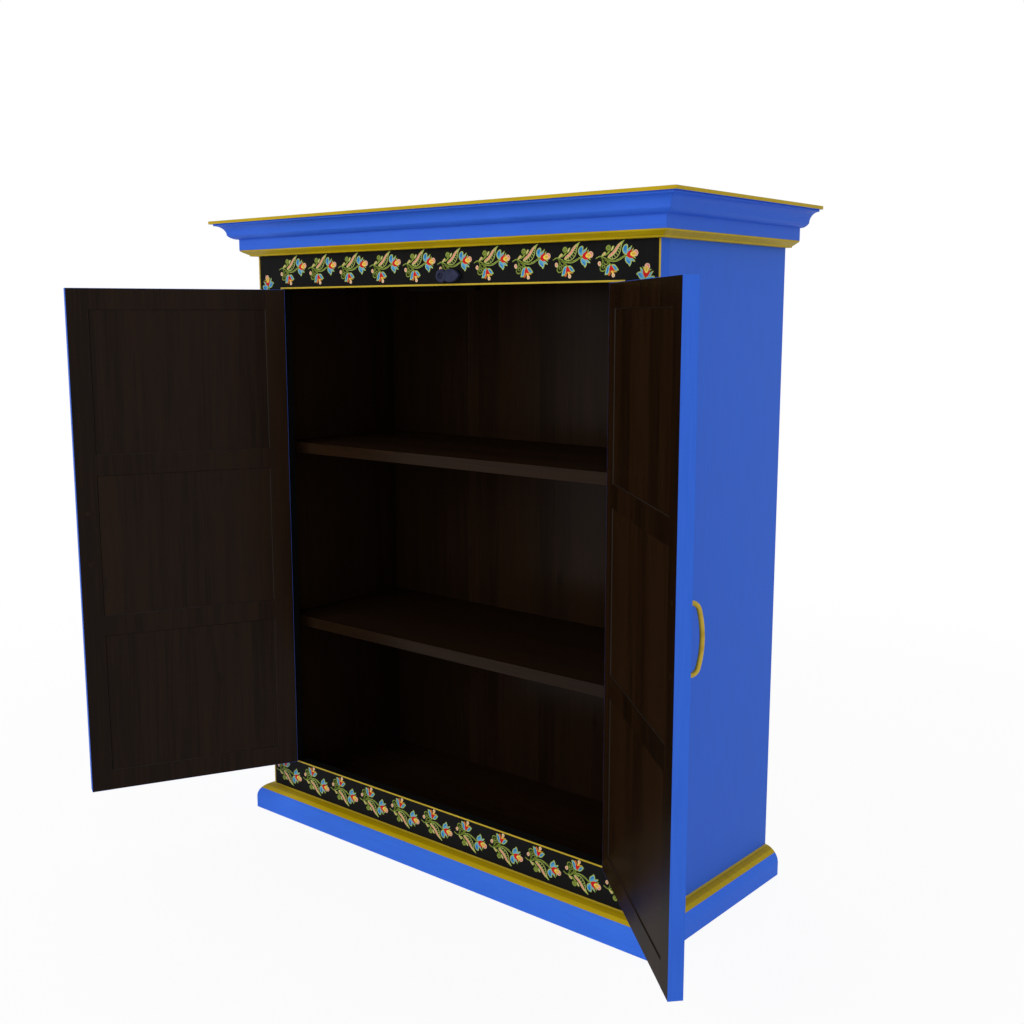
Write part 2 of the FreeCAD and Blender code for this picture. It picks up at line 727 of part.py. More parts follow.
def build():
    """Add every sub-part in the order in which the cupboard is put together."""
    for side in (LEFT, RIGHT):
        side_panel(side)
    level_board("bottom_board", FLOOR_UNDER, "floor_level", "0")
    level_board("top_board", CEILING_UNDER, CEILING_OVER, "0")
    level_board("lower_shelf", "lower_shelf_level - shelf_thick", "lower_shelf_level", "shelf_setback")
    level_board("upper_shelf", "upper_shelf_level - shelf_thick", "upper_shelf_level", "shelf_setback")
    back_boards()
    base_framing()
    face_frame()
    door_stop()
    cornice()
    plinth()
    for side in (LEFT, RIGHT):
        door_frame(side)
        handle(side)
    hinges()
    turn_button()


def write():
    """Check every object and write each sub-part."""
    DOC.recompute()
    for item in DOC.Objects:
        faults = [word for word in item.State if word in ("Invalid", "Error")]
        if faults:
            raise RuntimeError(f"{item.Label} is {faults}: {item.getStatusString()}")
    for piece in NODES:
        if piece.Shape.isNull() or not piece.Shape.isValid() or not piece.Shape.Solids:
            raise RuntimeError(f"{piece.Label} has no valid solid")
    os.makedirs("parts", exist_ok=True)
    for piece in NODES:
        piece.Shape.exportStep(f"parts/{piece.Label}.step")
    print(f"{len(NODES)} sub-parts, {sum(len(piece.Shape.Solids) for piece in NODES)} solids")


build()
write()
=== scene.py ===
"""Dresses the painted kas cupboard: paint, stain, gilding and iron, flower borders, light and camera."""

import json
import logging
import math
from dataclasses import dataclass
from enum import Enum
from typing import Any, Callable, ClassVar, Sequence

import bmesh
import bpy
from mathutils import Matrix, Vector


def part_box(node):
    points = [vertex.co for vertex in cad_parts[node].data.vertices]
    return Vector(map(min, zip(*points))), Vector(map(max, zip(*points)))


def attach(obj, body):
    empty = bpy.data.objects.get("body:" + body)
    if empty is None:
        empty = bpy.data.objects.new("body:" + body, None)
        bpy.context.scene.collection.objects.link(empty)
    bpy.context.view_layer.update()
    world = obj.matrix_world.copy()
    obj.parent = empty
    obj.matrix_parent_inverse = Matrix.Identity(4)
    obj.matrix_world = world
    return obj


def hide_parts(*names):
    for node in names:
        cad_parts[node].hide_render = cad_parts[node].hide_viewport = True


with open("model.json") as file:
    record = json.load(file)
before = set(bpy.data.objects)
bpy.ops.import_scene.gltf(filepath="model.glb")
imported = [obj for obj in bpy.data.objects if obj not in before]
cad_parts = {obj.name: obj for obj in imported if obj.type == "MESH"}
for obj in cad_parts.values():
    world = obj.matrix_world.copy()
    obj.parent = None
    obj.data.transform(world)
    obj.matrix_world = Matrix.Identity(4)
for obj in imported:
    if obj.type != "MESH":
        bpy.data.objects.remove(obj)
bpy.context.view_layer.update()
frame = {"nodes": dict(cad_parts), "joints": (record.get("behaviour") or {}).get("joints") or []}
LOG = logging.getLogger("kas_cupboard")

Chip = tuple[int, int, int]
Colour = tuple[float, float, float, float]
Place = tuple[float, float, float]
Point = tuple[float, float]

X, Y, Z = range(3)
MM = 0.001
DECIMALS = 3  # sizes are read from the frame to a thousandth of a millimetre
ARRIS_TURN = math.radians(35)  # faces that turn from each other by more than this meet in an arris
WHITE: Colour = (1.0, 1.0, 1.0, 1.0)


def node_reach(name: str, axis: int) -> Point:
    """Tell how far a node of the frame reaches at rest.

    Args:
        name: The node's name.
        axis: The axis along which it is measured.

    Returns:
        Its lowest and its highest place, in millimetres.
    """
    low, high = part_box(name)
    return (round(low[axis] / MM, DECIMALS), round(high[axis] / MM, DECIMALS))


def find_joint(name: str) -> dict[str, Any]:
    """Return a joint of the frame by its name."""
    return next(joint for joint in frame["joints"] if joint["name"] == name)


def linear(chip: Chip) -> Colour:
    """Turn a colour as a screen shows it into the linear colour that a shader takes.

    Args:
        chip: Red, green and blue, each from 0 to 255.

    Returns:
        The linear colour, with full cover.
    """
    shares = [part / 255 for part in chip]
    levels = [share / 12.92 if share <= 0.04045 else ((share + 0.055) / 1.055) ** 2.4 for share in shares]
    return (levels[0], levels[1], levels[2], 1.0)


FRONT = node_reach("frieze_rail", Y)[0]  # the face frame's front, in millimetres
FRAME_EDGE = node_reach("frame_stile_right", X)[1]  # half the cupboard's width
HINGE_HEIGHT = 60.0
HINGE_LOWS = (node_reach("hinge_pins", Z)[0], node_reach("hinge_pins", Z)[1] - HINGE_HEIGHT)


class Side(Enum):
    """Which of the two doors, and the sign of its side in x."""

    LEFT = -1
    RIGHT = 1

    @property
    def word(self) -> str:
        """The side's name in the names of pieces."""
        return self.name.lower()


class Slot(Enum):
    """The record's material slots, passed along with new pieces but not given to them."""

    GOLD = "gold_paint"
    BLACK = "black_paint"
    WOOD = "dark_wood"
    GILT = "gilt_handle"
    IRON = "dark_iron"
    BLACK_IRON = "black_iron"


class Grain(Enum):
    """The axis that a board's grain follows."""

    LEVEL = X
    UPRIGHT = Z


class Value:
    """A socket that takes part in sums, each of which adds a Math node."""

    def __init__(self, graph: "Graph", socket: Any) -> None:
        """Keep the node tree and the socket."""
        self.graph = graph
        self.socket = socket

    def __add__(self, other: "Value | float") -> "Value":
        """Add."""
        return self.graph.maths("ADD", self, other)

    def __sub__(self, other: "Value | float") -> "Value":
        """Take away."""
        return self.graph.maths("SUBTRACT", self, other)

    def __rsub__(self, other: float) -> "Value":
        """Take this away from a number."""
        return self.graph.maths("SUBTRACT", other, self)

    def __mul__(self, other: "Value | float") -> "Value":
        """Multiply."""
        return self.graph.maths("MULTIPLY", self, other)

    def __truediv__(self, other: "Value | float") -> "Value":
        """Divide."""
        return self.graph.maths("DIVIDE", self, other)

    def __gt__(self, other: "Value | float") -> "Value":
        """Give 1 where this is the greater."""
        return self.graph.maths("GREATER_THAN", self, other)

    def __lt__(self, other: "Value | float") -> "Value":
        """Give 1 where this is the lesser."""
        return self.graph.maths("LESS_THAN", self, other)

    def __abs__(self) -> "Value":
        """Drop the sign."""
        return self.graph.maths("ABSOLUTE", self)

    __radd__ = __add__
    __rmul__ = __mul__


class Graph:
    """A node tree that is written as calls and sums."""

    MIXED = (6, 7)  # the places of the Mix node's two colours among its inputs
    MIX = 2  # the place of its colour among its outputs

    def __init__(self, tree: bpy.types.NodeTree) -> None:
        """Start from an empty tree."""
        self.tree = tree
        tree.nodes.clear()

    def node(self, kind: str, settings: dict[str, Any], sockets: dict[Any, Any], output: Any = 0) -> Value:
        """Add a node.

        Args:
            kind: The node's type.
            settings: The node's own settings, which are set first.
            sockets: A value or a link for each named or numbered input.
            output: The name or number of the output that is wanted.

        Returns:
            That output, or an empty value where the node has none.
        """
        node = self.tree.nodes.new(kind)
        for name, setting in settings.items():
            setattr(node, name, setting)
        for name, term in sockets.items():
            if isinstance(term, Value):
                self.tree.links.new(term.socket, node.inputs[name])
            else:
                node.inputs[name].default_value = term
        return Value(self, node.outputs[output] if len(node.outputs) else None)

    def maths(self, operation: str, *terms: Value | float) -> Value:
        """Add a Math node."""
        return self.node("ShaderNodeMath", {"operation": operation}, dict(enumerate(terms)))

    def mix(self, share: Value | float, first: Any, second: Any) -> Value:
        """Give the first colour where share is 0 and the second where it is 1."""
        sockets = {0: share, self.MIXED[0]: first, self.MIXED[1]: second}
        return self.node("ShaderNodeMix", {"data_type": "RGBA"}, sockets, self.MIX)

    def ramp(self, value: Value, low: float, high: float) -> Value:
        """Go smoothly from 0 at low to 1 at high."""
        sockets = {"Value": value, "From Min": low, "From Max": high}
        return self.node("ShaderNodeMapRange", {"interpolation_type": "SMOOTHSTEP"}, sockets)

    def noise(self, place: Value, size: float, detail: float = 2.0) -> Value:
        """Give noise whose marks are about size millimetres across."""
        sockets = {"Vector": place, "Scale": 1 / (size * MM), "Detail": detail}
        return self.node("ShaderNodeTexNoise", {}, sockets)

    def vector(self, x: Value | float, y: Value | float, z: Value | float) -> Value:
        """Join three values to a vector."""
        return self.node("ShaderNodeCombineXYZ", {}, {"X": x, "Y": y, "Z": z})

    def parts(self, vector: Value) -> tuple[Value, Value, Value]:
        """Split a vector into its three values."""
        outputs = self.node("ShaderNodeSeparateXYZ", {}, {"Vector": vector}).socket.node.outputs
        return Value(self, outputs["X"]), Value(self, outputs["Y"]), Value(self, outputs["Z"])


@dataclass(frozen=True)
class Hanging:
    """How a door hangs: the place of its hinge pins in millimetres, and how far it stands open."""

    side: Side
    pin_x: float
    pin_y: float
    swing: float

    @classmethod
    def read(cls, side: Side) -> "Hanging":
        """Read from the frame how a door hangs.

        Args:
            side: Which door it is.

        Returns:
            Its pins' place and its swing, which the hinge's lower limit takes back to shut.
        """
        hinge = find_joint(f"{side.word}_door_hinge")
        pin_x, pin_y, _ = (place / MM for place in hinge["pos_m"])
        return cls(side, pin_x, pin_y, -hinge["range_deg"][0] * hinge["axis"][Z])

    def open_up(self) -> Matrix:
        """Find the move from the closed door to the door as it stands.

        Returns:
            The move.
        """
        pin = Vector((self.pin_x, self.pin_y, 0)) * MM
        turn = Matrix.Rotation(math.radians(self.swing), 4, "Z")
        return Matrix.Translation(pin) @ turn @ Matrix.Translation(-pin)


HANGINGS = tuple(Hanging.read(side) for side in Side)


class Spot:
    """Where a point of a surface is on the closed cupboard, in metres, and which way it faces."""

    def __init__(self, graph: Graph, hanging: Hanging | None) -> None:
        """Read the point and the normal, turned back with the door where there is one.

        Args:
            graph: The node tree to add to.
            hanging: How the door hangs that the surface belongs to, if any.
        """
        self.graph = graph
        self.point = graph.node("ShaderNodeTexCoord", {}, {}, "Object")
        facing = graph.node("ShaderNodeTexCoord", {}, {}, "Normal")
        if hanging:
            self.point = self.turn_back(self.point, hanging, (hanging.pin_x * MM, hanging.pin_y * MM, 0.0))
            facing = self.turn_back(facing, hanging, (0.0, 0.0, 0.0))
        self.x, self.y, self.z = graph.parts(self.point)
        _, self.facing_y, self.facing_z = graph.parts(facing)

    def turn_back(self, vector: Value, hanging: Hanging, centre: Place) -> Value:
        """Turn a vector about a centre as the door turns when it shuts."""
        sockets = {"Vector": vector, "Center": centre, "Angle": math.radians(-hanging.swing)}
        return self.graph.node("ShaderNodeVectorRotate", {"rotation_type": "Z_AXIS"}, sockets)

    def along_and_across(self, grain: Grain) -> tuple[Value, Value]:
        """Measure the point by the grain.

        Args:
            grain: The axis of the grain.

        Returns:
            How far it is along the grain, and across it on whichever face it is.
        """
        if grain is Grain.LEVEL:
            return self.x, self.y + self.z
        return self.z, self.x + self.y


@dataclass(frozen=True)
class Coat:
    """What a finish gives at each point of a surface."""

    colour: Value | Colour
    roughness: Value
    height: Value
    metal: float = 0.0

    def over(self, other: "Coat", mask: Value) -> "Coat":
        """Lay this coat over another.

        Args:
            other: The coat that shows where the mask is 0, as metallic as this one.
            mask: Where this coat lies.

        Returns:
            The two coats as one.
        """
        def blend(mine: Value, theirs: Value) -> Value:
            """Share one number out by the mask."""
            return mask * mine + (1 - mask) * theirs
        return Coat(mask.graph.mix(mask, other.colour, self.colour), blend(self.roughness, other.roughness),
                    blend(self.height, other.height), self.metal)


@dataclass(frozen=True)
class Streaks:
    """Marks drawn out along the grain: their width in millimetres, their draw and their detail."""

    width: float
    draw: float
    detail: float

    def lay(self, graph: Graph, across: Value, along: Value, layer: Value | float) -> Value:
        """Give the marks on a surface.

        Args:
            graph: The node tree to add to.
            across: How far a point is across the grain.
            along: How far it is along the grain.
            layer: Which of many like patterns it is.

        Returns:
            Noise about a half.
        """
        return graph.noise(graph.vector(across, along * self.draw, layer), self.width, self.detail)


@dataclass(frozen=True)
class Wear:
    """Rubbed marks on an arris: their size in millimetres, where they start and are whole, their share."""

    size: float
    start: float
    whole: float
    share: float

    DETAIL: ClassVar[float] = 6.0

    def lay(self, spot: Spot) -> Value:
        """Give how far the surface is rubbed."""
        marks = spot.graph.noise(spot.point, self.size, self.DETAIL)
        return spot.graph.ramp(marks, self.start, self.whole) * self.share


@dataclass(frozen=True)
class Paint:
    """Brushed paint: its colour, its darker streaks, what shows where it is rubbed, and its roughness."""

    colour: Chip
    streak: Chip
    rubbed: Chip
    roughness: float
    brush_width: float = 2.6
    brush_depth: float = 0.03

    CLOUD: ClassVar[float] = 160.0  # the size of the paint's clouds, in millimetres
    SPECK: ClassVar[float] = 0.8  # the size of its specks
    SPECK_DEPTH: ClassVar[float] = 0.008
    HAIR_DRAW: ClassVar[float] = 0.03
    HAIR_SWAY: ClassVar[float] = 0.004  # how far the clouds push the brush's hairs aside, in metres
    TONES: ClassVar[Point] = (0.32, 0.66)  # where the streak's colour ends and the full colour starts
    TONE_SHARES: ClassVar[tuple[float, ...]] = (0.2, 0.55, 0.25)  # by clouds, hairs, specks
    ROUGHER: ClassVar[tuple[float, ...]] = (0.18, 0.12, 0.15)  # by hairs, clouds, rubbing
    DETAIL: ClassVar[float] = 3.0
    WEAR: ClassVar[Wear] = Wear(14.0, 0.5, 0.66, 0.75)

    def coat(self, spot: Spot, grain: Grain, worn: bool = False) -> Coat:
        """Brush the paint on.

        Args:
            spot: Where the surface's points are.
            grain: The way the brush went.
            worn: Whether this is the rubbed arris of a piece.

        Returns:
            The paint's coat.
        """
        graph = spot.graph
        along, across = spot.along_and_across(grain)
        cloud = graph.noise(spot.point, self.CLOUD, self.DETAIL)
        brush = Streaks(self.brush_width, self.HAIR_DRAW, self.DETAIL)
        hairs = brush.lay(graph, across, along, cloud * self.HAIR_SWAY)
        speck = graph.noise(spot.point, self.SPECK)
        by_cloud, by_hair, by_speck = self.TONE_SHARES
        tone = graph.ramp(cloud * by_cloud + hairs * by_hair + speck * by_speck, *self.TONES)
        colour = graph.mix(tone, linear(self.streak), linear(self.colour))
        from_hair, from_cloud, from_wear = self.ROUGHER
        roughness = self.roughness + (hairs - 0.5) * from_hair + (cloud - 0.5) * from_cloud
        height = (hairs * self.brush_depth + speck * self.SPECK_DEPTH) * MM
        if worn:
            bare = self.WEAR.lay(spot)
            colour = graph.mix(bare, colour, linear(self.rubbed))
            roughness = roughness + bare * from_wear
        return Coat(colour, roughness, height)


@dataclass(frozen=True)
class Stain:
    """Stained and varnished boards: the wood's dark and light, its pores, its strips' width, its gloss."""

    dark: Chip
    light: Chip
    pore: Chip
    rubbed: Chip
    strip: float
    roughness: float
    pore_depth: float = 0.006

    BOARD_SHIFT: ClassVar[float] = 0.3  # how far apart in the log two boards may lie, in metres
    KNOTS: ClassVar[float] = 5.5  # how many knots stand in a metre across the grain
    KNOT_DRAW: ClassVar[float] = 0.4
    KNOT_REACH: ClassVar[Point] = (0.02, 0.22)  # where the grain bends most round a knot, and where no more
    KNOT_HEART: ClassVar[Point] = (0.012, 0.045)  # where a knot's dark heart ends
    BEND: ClassVar[Streaks] = Streaks(90.0, 0.25, 2.0)
    FIGURE: ClassVar[Streaks] = Streaks(11.0, 0.035, 4.0)
    FIBRE: ClassVar[Streaks] = Streaks(2.2, 0.02, 3.0)
    PORES: ClassVar[Streaks] = Streaks(0.9, 0.06, 2.0)
    PORE_EDGE: ClassVar[Point] = (0.6, 0.72)
    FIBRE_DEPTH: ClassVar[float] = 0.003
    TONES: ClassVar[Point] = (0.3, 0.68)  # where the dark of the wood ends and its light starts
    TONE_LIFT: ClassVar[float] = 0.035
    TONE_SHARES: ClassVar[tuple[float, ...]] = (0.32, 0.36, 0.15, 0.1)  # by figure, fibre, strip, board
    SWAY: ClassVar[Point] = (0.012, 0.006)  # how far bends and knots push the grain aside, in metres
    DARKER: ClassVar[Point] = (0.6, 0.4)  # how far pores and hearts darken the wood
    ROUGHER: ClassVar[tuple[float, ...]] = (0.08, 0.08, 0.06)  # by fibre, pores, figure
    WEAR: ClassVar[Wear] = Wear(12.0, 0.48, 0.64, 0.6)

    def coat(self, spot: Spot, grain: Grain, worn: bool = False) -> Coat:
        """Stain the wood.

        Args:
            spot: Where the surface's points are.
            grain: The axis of the grain.
            worn: Whether this is the rubbed arris of a piece.

        Returns:
            The wood's coat.
        """
        graph = spot.graph
        along, across = spot.along_and_across(grain)
        board = graph.node("ShaderNodeObjectInfo", {}, {}, "Random")
        across = across + board * self.BOARD_SHIFT
        number = graph.maths("FLOOR", across / (self.strip * MM))
        strip = graph.node("ShaderNodeTexWhiteNoise", {"noise_dimensions": "1D"}, {"W": number})
        place = graph.vector(across, along * self.KNOT_DRAW, 0.0)
        knots = graph.node("ShaderNodeTexVoronoi", {"voronoi_dimensions": "2D"},
                           {"Vector": place, "Scale": self.KNOTS})
        near_knot = 1 - graph.ramp(knots, *self.KNOT_REACH)
        bend, push = self.SWAY
        bent = across + (self.BEND.lay(graph, across, along, strip) * bend + near_knot * push)
        figure = self.FIGURE.lay(graph, bent, along, strip)
        fibre = self.FIBRE.lay(graph, bent, along, strip)
        pores = graph.ramp(self.PORES.lay(graph, bent, along, 0.0), *self.PORE_EDGE)
        by_figure, by_fibre, by_strip, by_board = self.TONE_SHARES
        tone = figure * by_figure + fibre * by_fibre + strip * by_strip + board * by_board + self.TONE_LIFT
        colour = graph.mix(graph.ramp(tone, *self.TONES), linear(self.dark), linear(self.light))
        heart = 1 - graph.ramp(knots, *self.KNOT_HEART)
        colour = graph.mix(pores * self.DARKER[0] + heart * self.DARKER[1], colour, linear(self.pore))
        from_fibre, from_pore, from_figure = self.ROUGHER
        roughness = (self.roughness + (fibre - 0.5) * from_fibre + pores * from_pore
                     + (figure - 0.5) * from_figure)
        height = (fibre * self.FIBRE_DEPTH - pores * self.pore_depth) * MM
        if worn:
            colour = graph.mix(self.WEAR.lay(spot), colour, linear(self.rubbed))
        return Coat(colour, roughness, height)


@dataclass(frozen=True)
class Metal:
    """Worked metal: its bright and dulled colours, roughness, how metallic it is and its dents' depth."""

    bright: Chip
    dull: Chip
    roughness: float
    metal: float
    dent: float

    PATCH: ClassVar[float] = 16.0  # the size of its dull patches, in millimetres
    HAMMER: ClassVar[float] = 4.5  # the size of its dents
    FINE: ClassVar[float] = 0.5  # the size of its scratches
    FINE_DEPTH: ClassVar[float] = 0.01
    DULLED: ClassVar[Point] = (0.42, 0.62)  # where the bright ends and the dull starts
    DULL_SHARES: ClassVar[Point] = (0.7, 0.3)  # what patches and scratches add to the dulling
    ROUGHER: ClassVar[Point] = (0.16, 0.14)  # what dulling and scratches add to the roughness

    def coat(self, spot: Spot) -> Coat:
        """Give the metal its tarnish and tool marks.

        Args:
            spot: Where the surface's points are.

        Returns:
            The metal's coat.
        """
        graph = spot.graph
        patch = graph.noise(spot.point, self.PATCH, 4.0)
        hammer = graph.noise(spot.point, self.HAMMER)
        fine = graph.noise(spot.point, self.FINE, 3.0)
        dulled = graph.ramp(patch * self.DULL_SHARES[0] + fine * self.DULL_SHARES[1], *self.DULLED)
        colour = graph.mix(dulled, linear(self.bright), linear(self.dull))
        roughness = self.roughness + dulled * self.ROUGHER[0] + (fine - 0.5) * self.ROUGHER[1]
        height = (hammer * self.dent + fine * self.FINE_DEPTH) * MM
        return Coat(colour, roughness, height, self.metal)


Finish = Paint | Stain
Coating = Callable[[Spot, bool], Coat]

BLUE = Paint((52, 103, 212), (48, 97, 204), (62, 113, 218), 0.5)
# painted light: a lighter copy of BLUE for the plinth, standing in for the light thrown up from the floor on
# to its lower faces
LIT_PLINTH_BLUE = Paint((57, 115, 230), (53, 109, 221), (66, 124, 235), 0.5)
GOLD = Paint((189, 161, 8), (170, 143, 4), (201, 174, 44), 0.42)
# painted shade: a darker copy of GOLD for the plinth band's upper part, where it turns in to the wall
GOLD_SHADED = Paint((164, 138, 2), (148, 123, 1), (184, 157, 34), 0.42)
GOLD_LINE = Paint((200, 172, 52), (180, 152, 36), (222, 200, 110), 0.4, 1.2, 0.02)
BLACK = Paint((21, 21, 21), (16, 16, 16), (54, 48, 44), 0.5)
STAIN = Stain((20, 11, 5), (37, 22, 10), (13, 8, 4), (40, 27, 18), 54.0, 0.4)
# painted light: a lighter copy of the doors' STAIN, lifting the shaded inside of the case
LIT_INNER_STAIN = Stain((24, 15, 7), (38, 24, 13), (14, 8, 4), (42, 29, 20), 54.0, 0.4)
# painted highlight: a lighter, greyer copy of the stain for the panel fillets, standing in for the lit rims
# of the panel joints
LIT_FILLET_STAIN = Stain((30, 24, 20), (40, 33, 28), (20, 15, 12), (44, 35, 29), 54.0, 0.4)
# painted shade: a near-black copy of the stain for the door stop, so that it reads as the shade at the top
# of the opening
SHADED_STOP_STAIN = Stain((7, 4, 2), (13, 8, 4), (4, 2, 1), (30, 20, 13), 49.0, 0.3)
DRY_WOOD = Stain((62, 44, 30), (98, 74, 52), (34, 23, 16), (120, 94, 68), 140.0, 0.72, 0.09)
GILT = Metal((195, 166, 56), (176, 147, 45), 0.42, 0.35, 0.02)
NAVY_IRON = Metal((46, 50, 74), (36, 39, 58), 0.5, 0.15, 0.1)
# painted shade: a darker copy of NAVY_IRON for the hollow in the button's head and the screw in it
SHADED_IRON = Metal((36, 39, 60), (28, 30, 46), 0.55, 0.15, 0.1)
BLACK_IRON = Metal((40, 39, 38), (24, 23, 22), 0.42, 0.7, 0.08)


def whole(finish: Finish) -> Coating:
    """Return what coats a whole surface with one finish, brushed level."""
    return lambda spot, worn: finish.coat(spot, Grain.LEVEL, worn)


def parted(upper: Finish, lower: Finish, grain: Grain, mask: Callable[[Spot], Value]) -> Coating:
    """Part a surface between two finishes.

    Args:
        upper: The finish where the mask is 1.
        lower: The finish elsewhere.
        grain: The way that both lie.
        mask: What gives the mask for a surface.

    Returns:
        What gives the coat for a surface, worn or not.
    """
    def coat(spot: Spot, worn: bool) -> Coat:
        """Give the coat at each point."""
        return upper.coat(spot, grain, worn).over(lower.coat(spot, grain, worn), mask(spot))
    return coat


class Pigment(Enum):
    """The flower painter's colours, as a screen shows them."""

    SKY = (88, 158, 196)
    SHADOW = (38, 116, 182)
    SPRING = (170, 186, 92)
    LEAF = (134, 152, 52)
    OLIVE = (100, 116, 36)
    RED = (200, 18, 24)
    YELLOW = (240, 212, 84)
    ORANGE = (216, 164, 62)
    RUST = (196, 98, 50)
    CREAM = (226, 196, 150)
    PINK = (224, 156, 134)
    ROSE = (208, 112, 112)
    INK = (18, 18, 18)


class Skin(Graph):
    """A material under construction."""

    VARNISH_ROUGHNESS = 0.22

    def __init__(self, name: str, hanging: Hanging | None = None) -> None:
        """Start the material and read where its surface is.

        Args:
            name: The material's name.
            hanging: How the door hangs that wears it, if any.
        """
        self.material = bpy.data.materials.new(name)
        self.material.use_nodes = True
        super().__init__(self.material.node_tree)
        self.spot = Spot(self, hanging)

    def finish(self, coat: Coat, specular: float, varnish: float = 0.0) -> bpy.types.Material:
        """Close the material with its shader.

        Args:
            coat: What it has at each point.
            specular: How strongly the surface mirrors, where 0.5 is plain gloss.
            varnish: How much of the surface a thin varnish covers.

        Returns:
            The finished material.
        """
        bump = self.node("ShaderNodeBump", {}, {"Strength": 1.0, "Distance": 1.0, "Height": coat.height})
        sockets = {"Base Color": coat.colour, "Roughness": coat.roughness, "Metallic": coat.metal,
                   "Specular IOR Level": specular, "Normal": bump}
        if varnish:
            sockets |= {"Coat Weight": varnish, "Coat Roughness": self.VARNISH_ROUGHNESS}
        surface = self.node("ShaderNodeBsdfPrincipled", {}, sockets)
        self.node("ShaderNodeOutputMaterial", {}, {"Surface": surface})
        return self.material


@dataclass(frozen=True)
class Dress:
    """What a piece of the frame wears: its faces' and its arrises' finish and how far these are eased."""

    face: bpy.types.Material
    arris: bpy.types.Material
    ease: float

    ONE_FACE: ClassVar[float] = math.radians(1)  # faces that turn by less than this are one face
    STRIPS: ClassVar[int] = 2  # how many strips go round an eased arris

    def put_on(self, *names: str) -> None:
        """Dress nodes, and round their arrises where the dress eases them.

        Args:
            names: The names of the nodes.
        """
        for name in names:
            node = frame["nodes"][name]
            node.data.materials.clear()
            node.data.materials.append(self.face)
            node.data.materials.append(self.arris)
            smooth = node.modifiers.new("joined_faces", "NODES")
            smooth.node_group = joined_faces(sharp=self.ease == 0)
            if self.ease:
                flat = node.modifiers.new("whole_faces", "DECIMATE")
                flat.decimate_type = "DISSOLVE"
                flat.angle_limit = self.ONE_FACE
                bevel = node.modifiers.new("eased_arrises", "BEVEL")
                bevel.width = self.ease * MM
                bevel.segments = self.STRIPS
                bevel.limit_method = "ANGLE"
                bevel.angle_limit = ARRIS_TURN
                bevel.material = 1
                node.modifiers.new("even_shading", "WEIGHTED_NORMAL").keep_sharp = True
            LOG.info("dressed %s", name)


SEAM = 0.01  # points of a node that are nearer than this are one, in millimetres


def joined_faces(sharp: bool) -> bpy.types.NodeTree:
    """Return the node group that joins a node's split faces and shades them smooth.

    Args:
        sharp: Whether its arrises stay sharp in the shading.

    Returns:
        The group, made on its first use.
    """
    name = "joined_sharp" if sharp else "joined_smooth"
    if name in bpy.data.node_groups:
        return bpy.data.node_groups[name]
    group = bpy.data.node_groups.new(name, "GeometryNodeTree")
    group.interface.new_socket("Geometry", in_out="INPUT", socket_type="NodeSocketGeometry")
    group.interface.new_socket("Geometry", in_out="OUTPUT", socket_type="NodeSocketGeometry")
    graph = Graph(group)
    mesh = graph.node("NodeGroupInput", {}, {})
    mesh = graph.node("GeometryNodeRemoveAttribute", {}, {"Geometry": mesh, "Name": "custom_normal"})
    mesh = graph.node("GeometryNodeMergeByDistance", {}, {"Geometry": mesh, "Distance": SEAM * MM})
    sockets = {"Geometry": mesh, "Shade Smooth": True}
    mesh = graph.node("GeometryNodeSetShadeSmooth", {"domain": "FACE"}, sockets)
    if sharp:
        turn = graph.node("GeometryNodeInputMeshEdgeAngle", {}, {})
        sockets = {"Geometry": mesh, "Selection": turn > ARRIS_TURN, "Shade Smooth": False}
        mesh = graph.node("GeometryNodeSetShadeSmooth", {"domain": "EDGE"}, sockets)
    graph.node("NodeGroupOutput", {}, {0: mesh})
    return group


